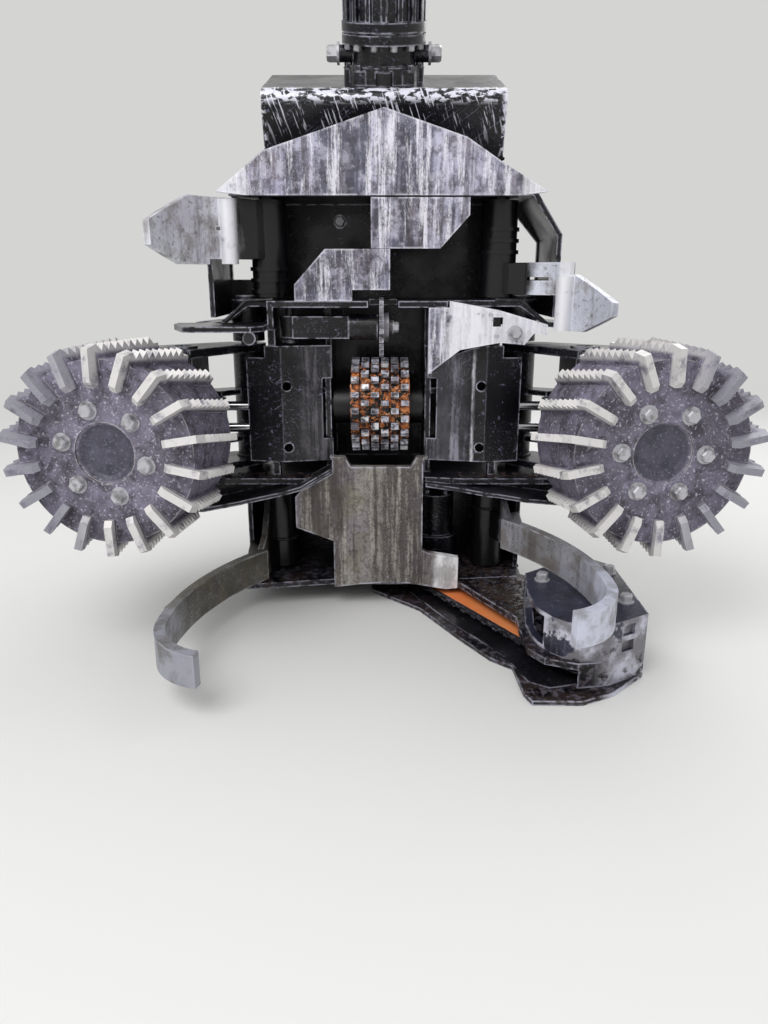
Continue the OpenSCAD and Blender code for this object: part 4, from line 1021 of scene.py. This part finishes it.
# %% Chain cutters
SAW_AT, BAR_ANGLE = (140, 84, 27), radians(-59)
BAR_LEN, BAR_W, CHAIN_OUT = 574, 84, 9
NOSE, SHOULDER, TAIL = 44, 70, 50        # the nose's radius, its start, the bar behind its pin


def build_cutter_tree(material):
    tree, put = start_geometry("cutters", {"Pitch": 0.0205, "Side": 0.0032})
    line = output_of(tree, "GeometryNodeMeshToCurve", {"Mesh": put["Geometry"]})
    points = output_of(tree, "GeometryNodeResampleCurve", {"Curve": line, "Length": put["Pitch"]},
                       mode="LENGTH")
    tangent = output_of(tree, "GeometryNodeInputTangent")
    turn = output_of(tree, "FunctionNodeAxesToRotation", {0: (0, 0, 1), 1: tangent},
                     primary_axis="Z", secondary_axis="X")
    odd = math_node(tree, "MODULO", output_of(tree, "GeometryNodeInputIndex"), 2.0)
    lift = times(tree, minus(tree, odd, 0.5), times(tree, put["Side"], 2.0))
    shift = output_of(tree, "ShaderNodeCombineXYZ", {"Z": lift})
    points = output_of(tree, "GeometryNodeSetPosition", {"Geometry": points, "Offset": shift})
    parts = tree.nodes.new("GeometryNodeJoinGeometry")
    for size, at in (((0.013, 0.0065, 0.0022), (0, 0.0, 0)),
                     ((0.006, 0.003, 0.0032), (0.004, -0.004, 0)),
                     ((0.004, 0.0026, 0.0022), (-0.0055, -0.0036, 0))):
        cube = output_of(tree, "GeometryNodeMeshCube", {"Size": size})
        feed(tree, parts, {0: output_of(tree, "GeometryNodeTransform",
                                        {"Geometry": cube, "Translation": at})})
    cutters = output_of(tree, "GeometryNodeInstanceOnPoints",
                        {"Points": points, "Instance": parts.outputs[0], "Rotation": turn})
    return end_geometry(tree, cutters, material)


def chain_base():
    """The chain's outer edge, as the bar's own outline grown by the chain."""
    half = BAR_W / 2 + CHAIN_OUT
    thin = half - 4
    nose = [(BAR_LEN - NOSE + (NOSE + CHAIN_OUT) * cos(a), thin * sin(a))
            for a in (radians(i) for i in range(-80, 81, 16))]
    start = BAR_LEN - SHOULDER
    outline = [(-TAIL, -half), (start, -thin)] + nose + [(start, thin), (-TAIL, half)]
    along, across = cos(BAR_ANGLE), sin(BAR_ANGLE)
    bm = bmesh.new()
    open_line(bm, [head(SAW_AT[0] + x * along - y * across, SAW_AT[1] + x * across + y * along,
                        SAW_AT[2]) for x, y in outline])
    return bm


grown(chain_base(), build_cutter_tree(chain_steel), "chain_cutters", "saw", {})

# %% [markdown]
# The set is a pale floor under an even, soft sky, as on an overcast day.

# %% Floor, light and view
BACKGROUND, FLOOR_COLOUR = (0.66, 0.66, 0.65, 1), (0.72, 0.72, 0.7, 1)
SKY_STRENGTH = 0.75


def seen_rays(tree):
    """1 for what the camera sees, straight, mirrored or through glass."""
    path = add_node(tree, "ShaderNodeLightPath").outputs
    mirrored = plus(tree, path["Is Glossy Ray"], path["Is Transmission Ray"])
    return plus(tree, path["Is Camera Ray"], mirrored, clamp=True)


def make_set():
    bm = bmesh.new()
    bmesh.ops.create_grid(bm, x_segments=1, y_segments=1, size=30)
    floor = object_from("floor", bm)
    material = bpy.data.materials.new("floor")
    material.use_nodes = True
    tree = material.node_tree
    shader = tree.nodes["Principled BSDF"]
    feed(tree, shader, {"Base Color": FLOOR_COLOUR, "Roughness": 0.9})
    # far off, the camera sees the floor fade into the background
    far = vector_node(tree, "LENGTH", {0: coordinates(tree)}, "Value")
    seen = times(tree, ramp(tree, far, 1.6, 5.5), seen_rays(tree))
    glow = output_of(tree, "ShaderNodeEmission", {"Color": BACKGROUND})
    both = output_of(tree, "ShaderNodeMixShader", {0: seen, 1: shader.outputs[0], 2: glow})
    feed(tree, tree.nodes["Material Output"], {"Surface": both})
    floor.data.materials.append(material)

    world = bpy.data.worlds.new("sky")
    bpy.context.scene.world = world
    world.use_nodes = True
    tree = world.node_tree
    up = apart(tree, coordinates(tree, "Generated"))["Z"]
    sky = mix_colour(tree, ramp(tree, up, -0.1, 0.7), (0.5, 0.5, 0.5, 1), (1.0, 1.0, 1.02, 1))
    seen = seen_rays(tree)
    # the camera sees the background at its own colour
    feed(tree, tree.nodes["Background"], {"Color": mix_colour(tree, seen, sky, BACKGROUND),
                                          "Strength": mix_number(tree, seen, SKY_STRENGTH, 1.0)})

    for name, at, size, watts in (("key", (-1.6, -2.4, 3.4), 2.6, 95),
                                  ("rim", (1.8, 2.2, 3.0), 2.4, 60)):
        lamp = bpy.data.lights.new(name, "AREA")
        lamp.size, lamp.energy = size, watts
        obj = in_scene(name, lamp)
        obj.location = at
        obj.rotation_mode = "QUATERNION"
        obj.rotation_quaternion = (Vector(at) - Vector((0, 0, 0.6))).to_track_quat("Z", "Y")
    bpy.context.scene.view_settings.view_transform = "Standard"


make_set()

# %% [markdown]
# Each added piece's finishes are looked up in a table of the head's finishes,
# and the slots found are counted. Loose wood belongs to none of them.

# %% Slots of the added pieces
SLOT_OF = {zinc: "pin_steel", pin_steel: "pin_steel", weld_steel: "black_paint",
           black_paint: "black_paint", chain_steel: "chain_steel"}
slotted = 0
for obj in bpy.context.scene.objects:
    if obj.type == "MESH" and obj.name not in frame["nodes"]:
        for slot in {SLOT_OF[m] for m in obj.data.materials if m in SLOT_OF}:
            slotted += 1
print("slots on", slotted, "added pieces")
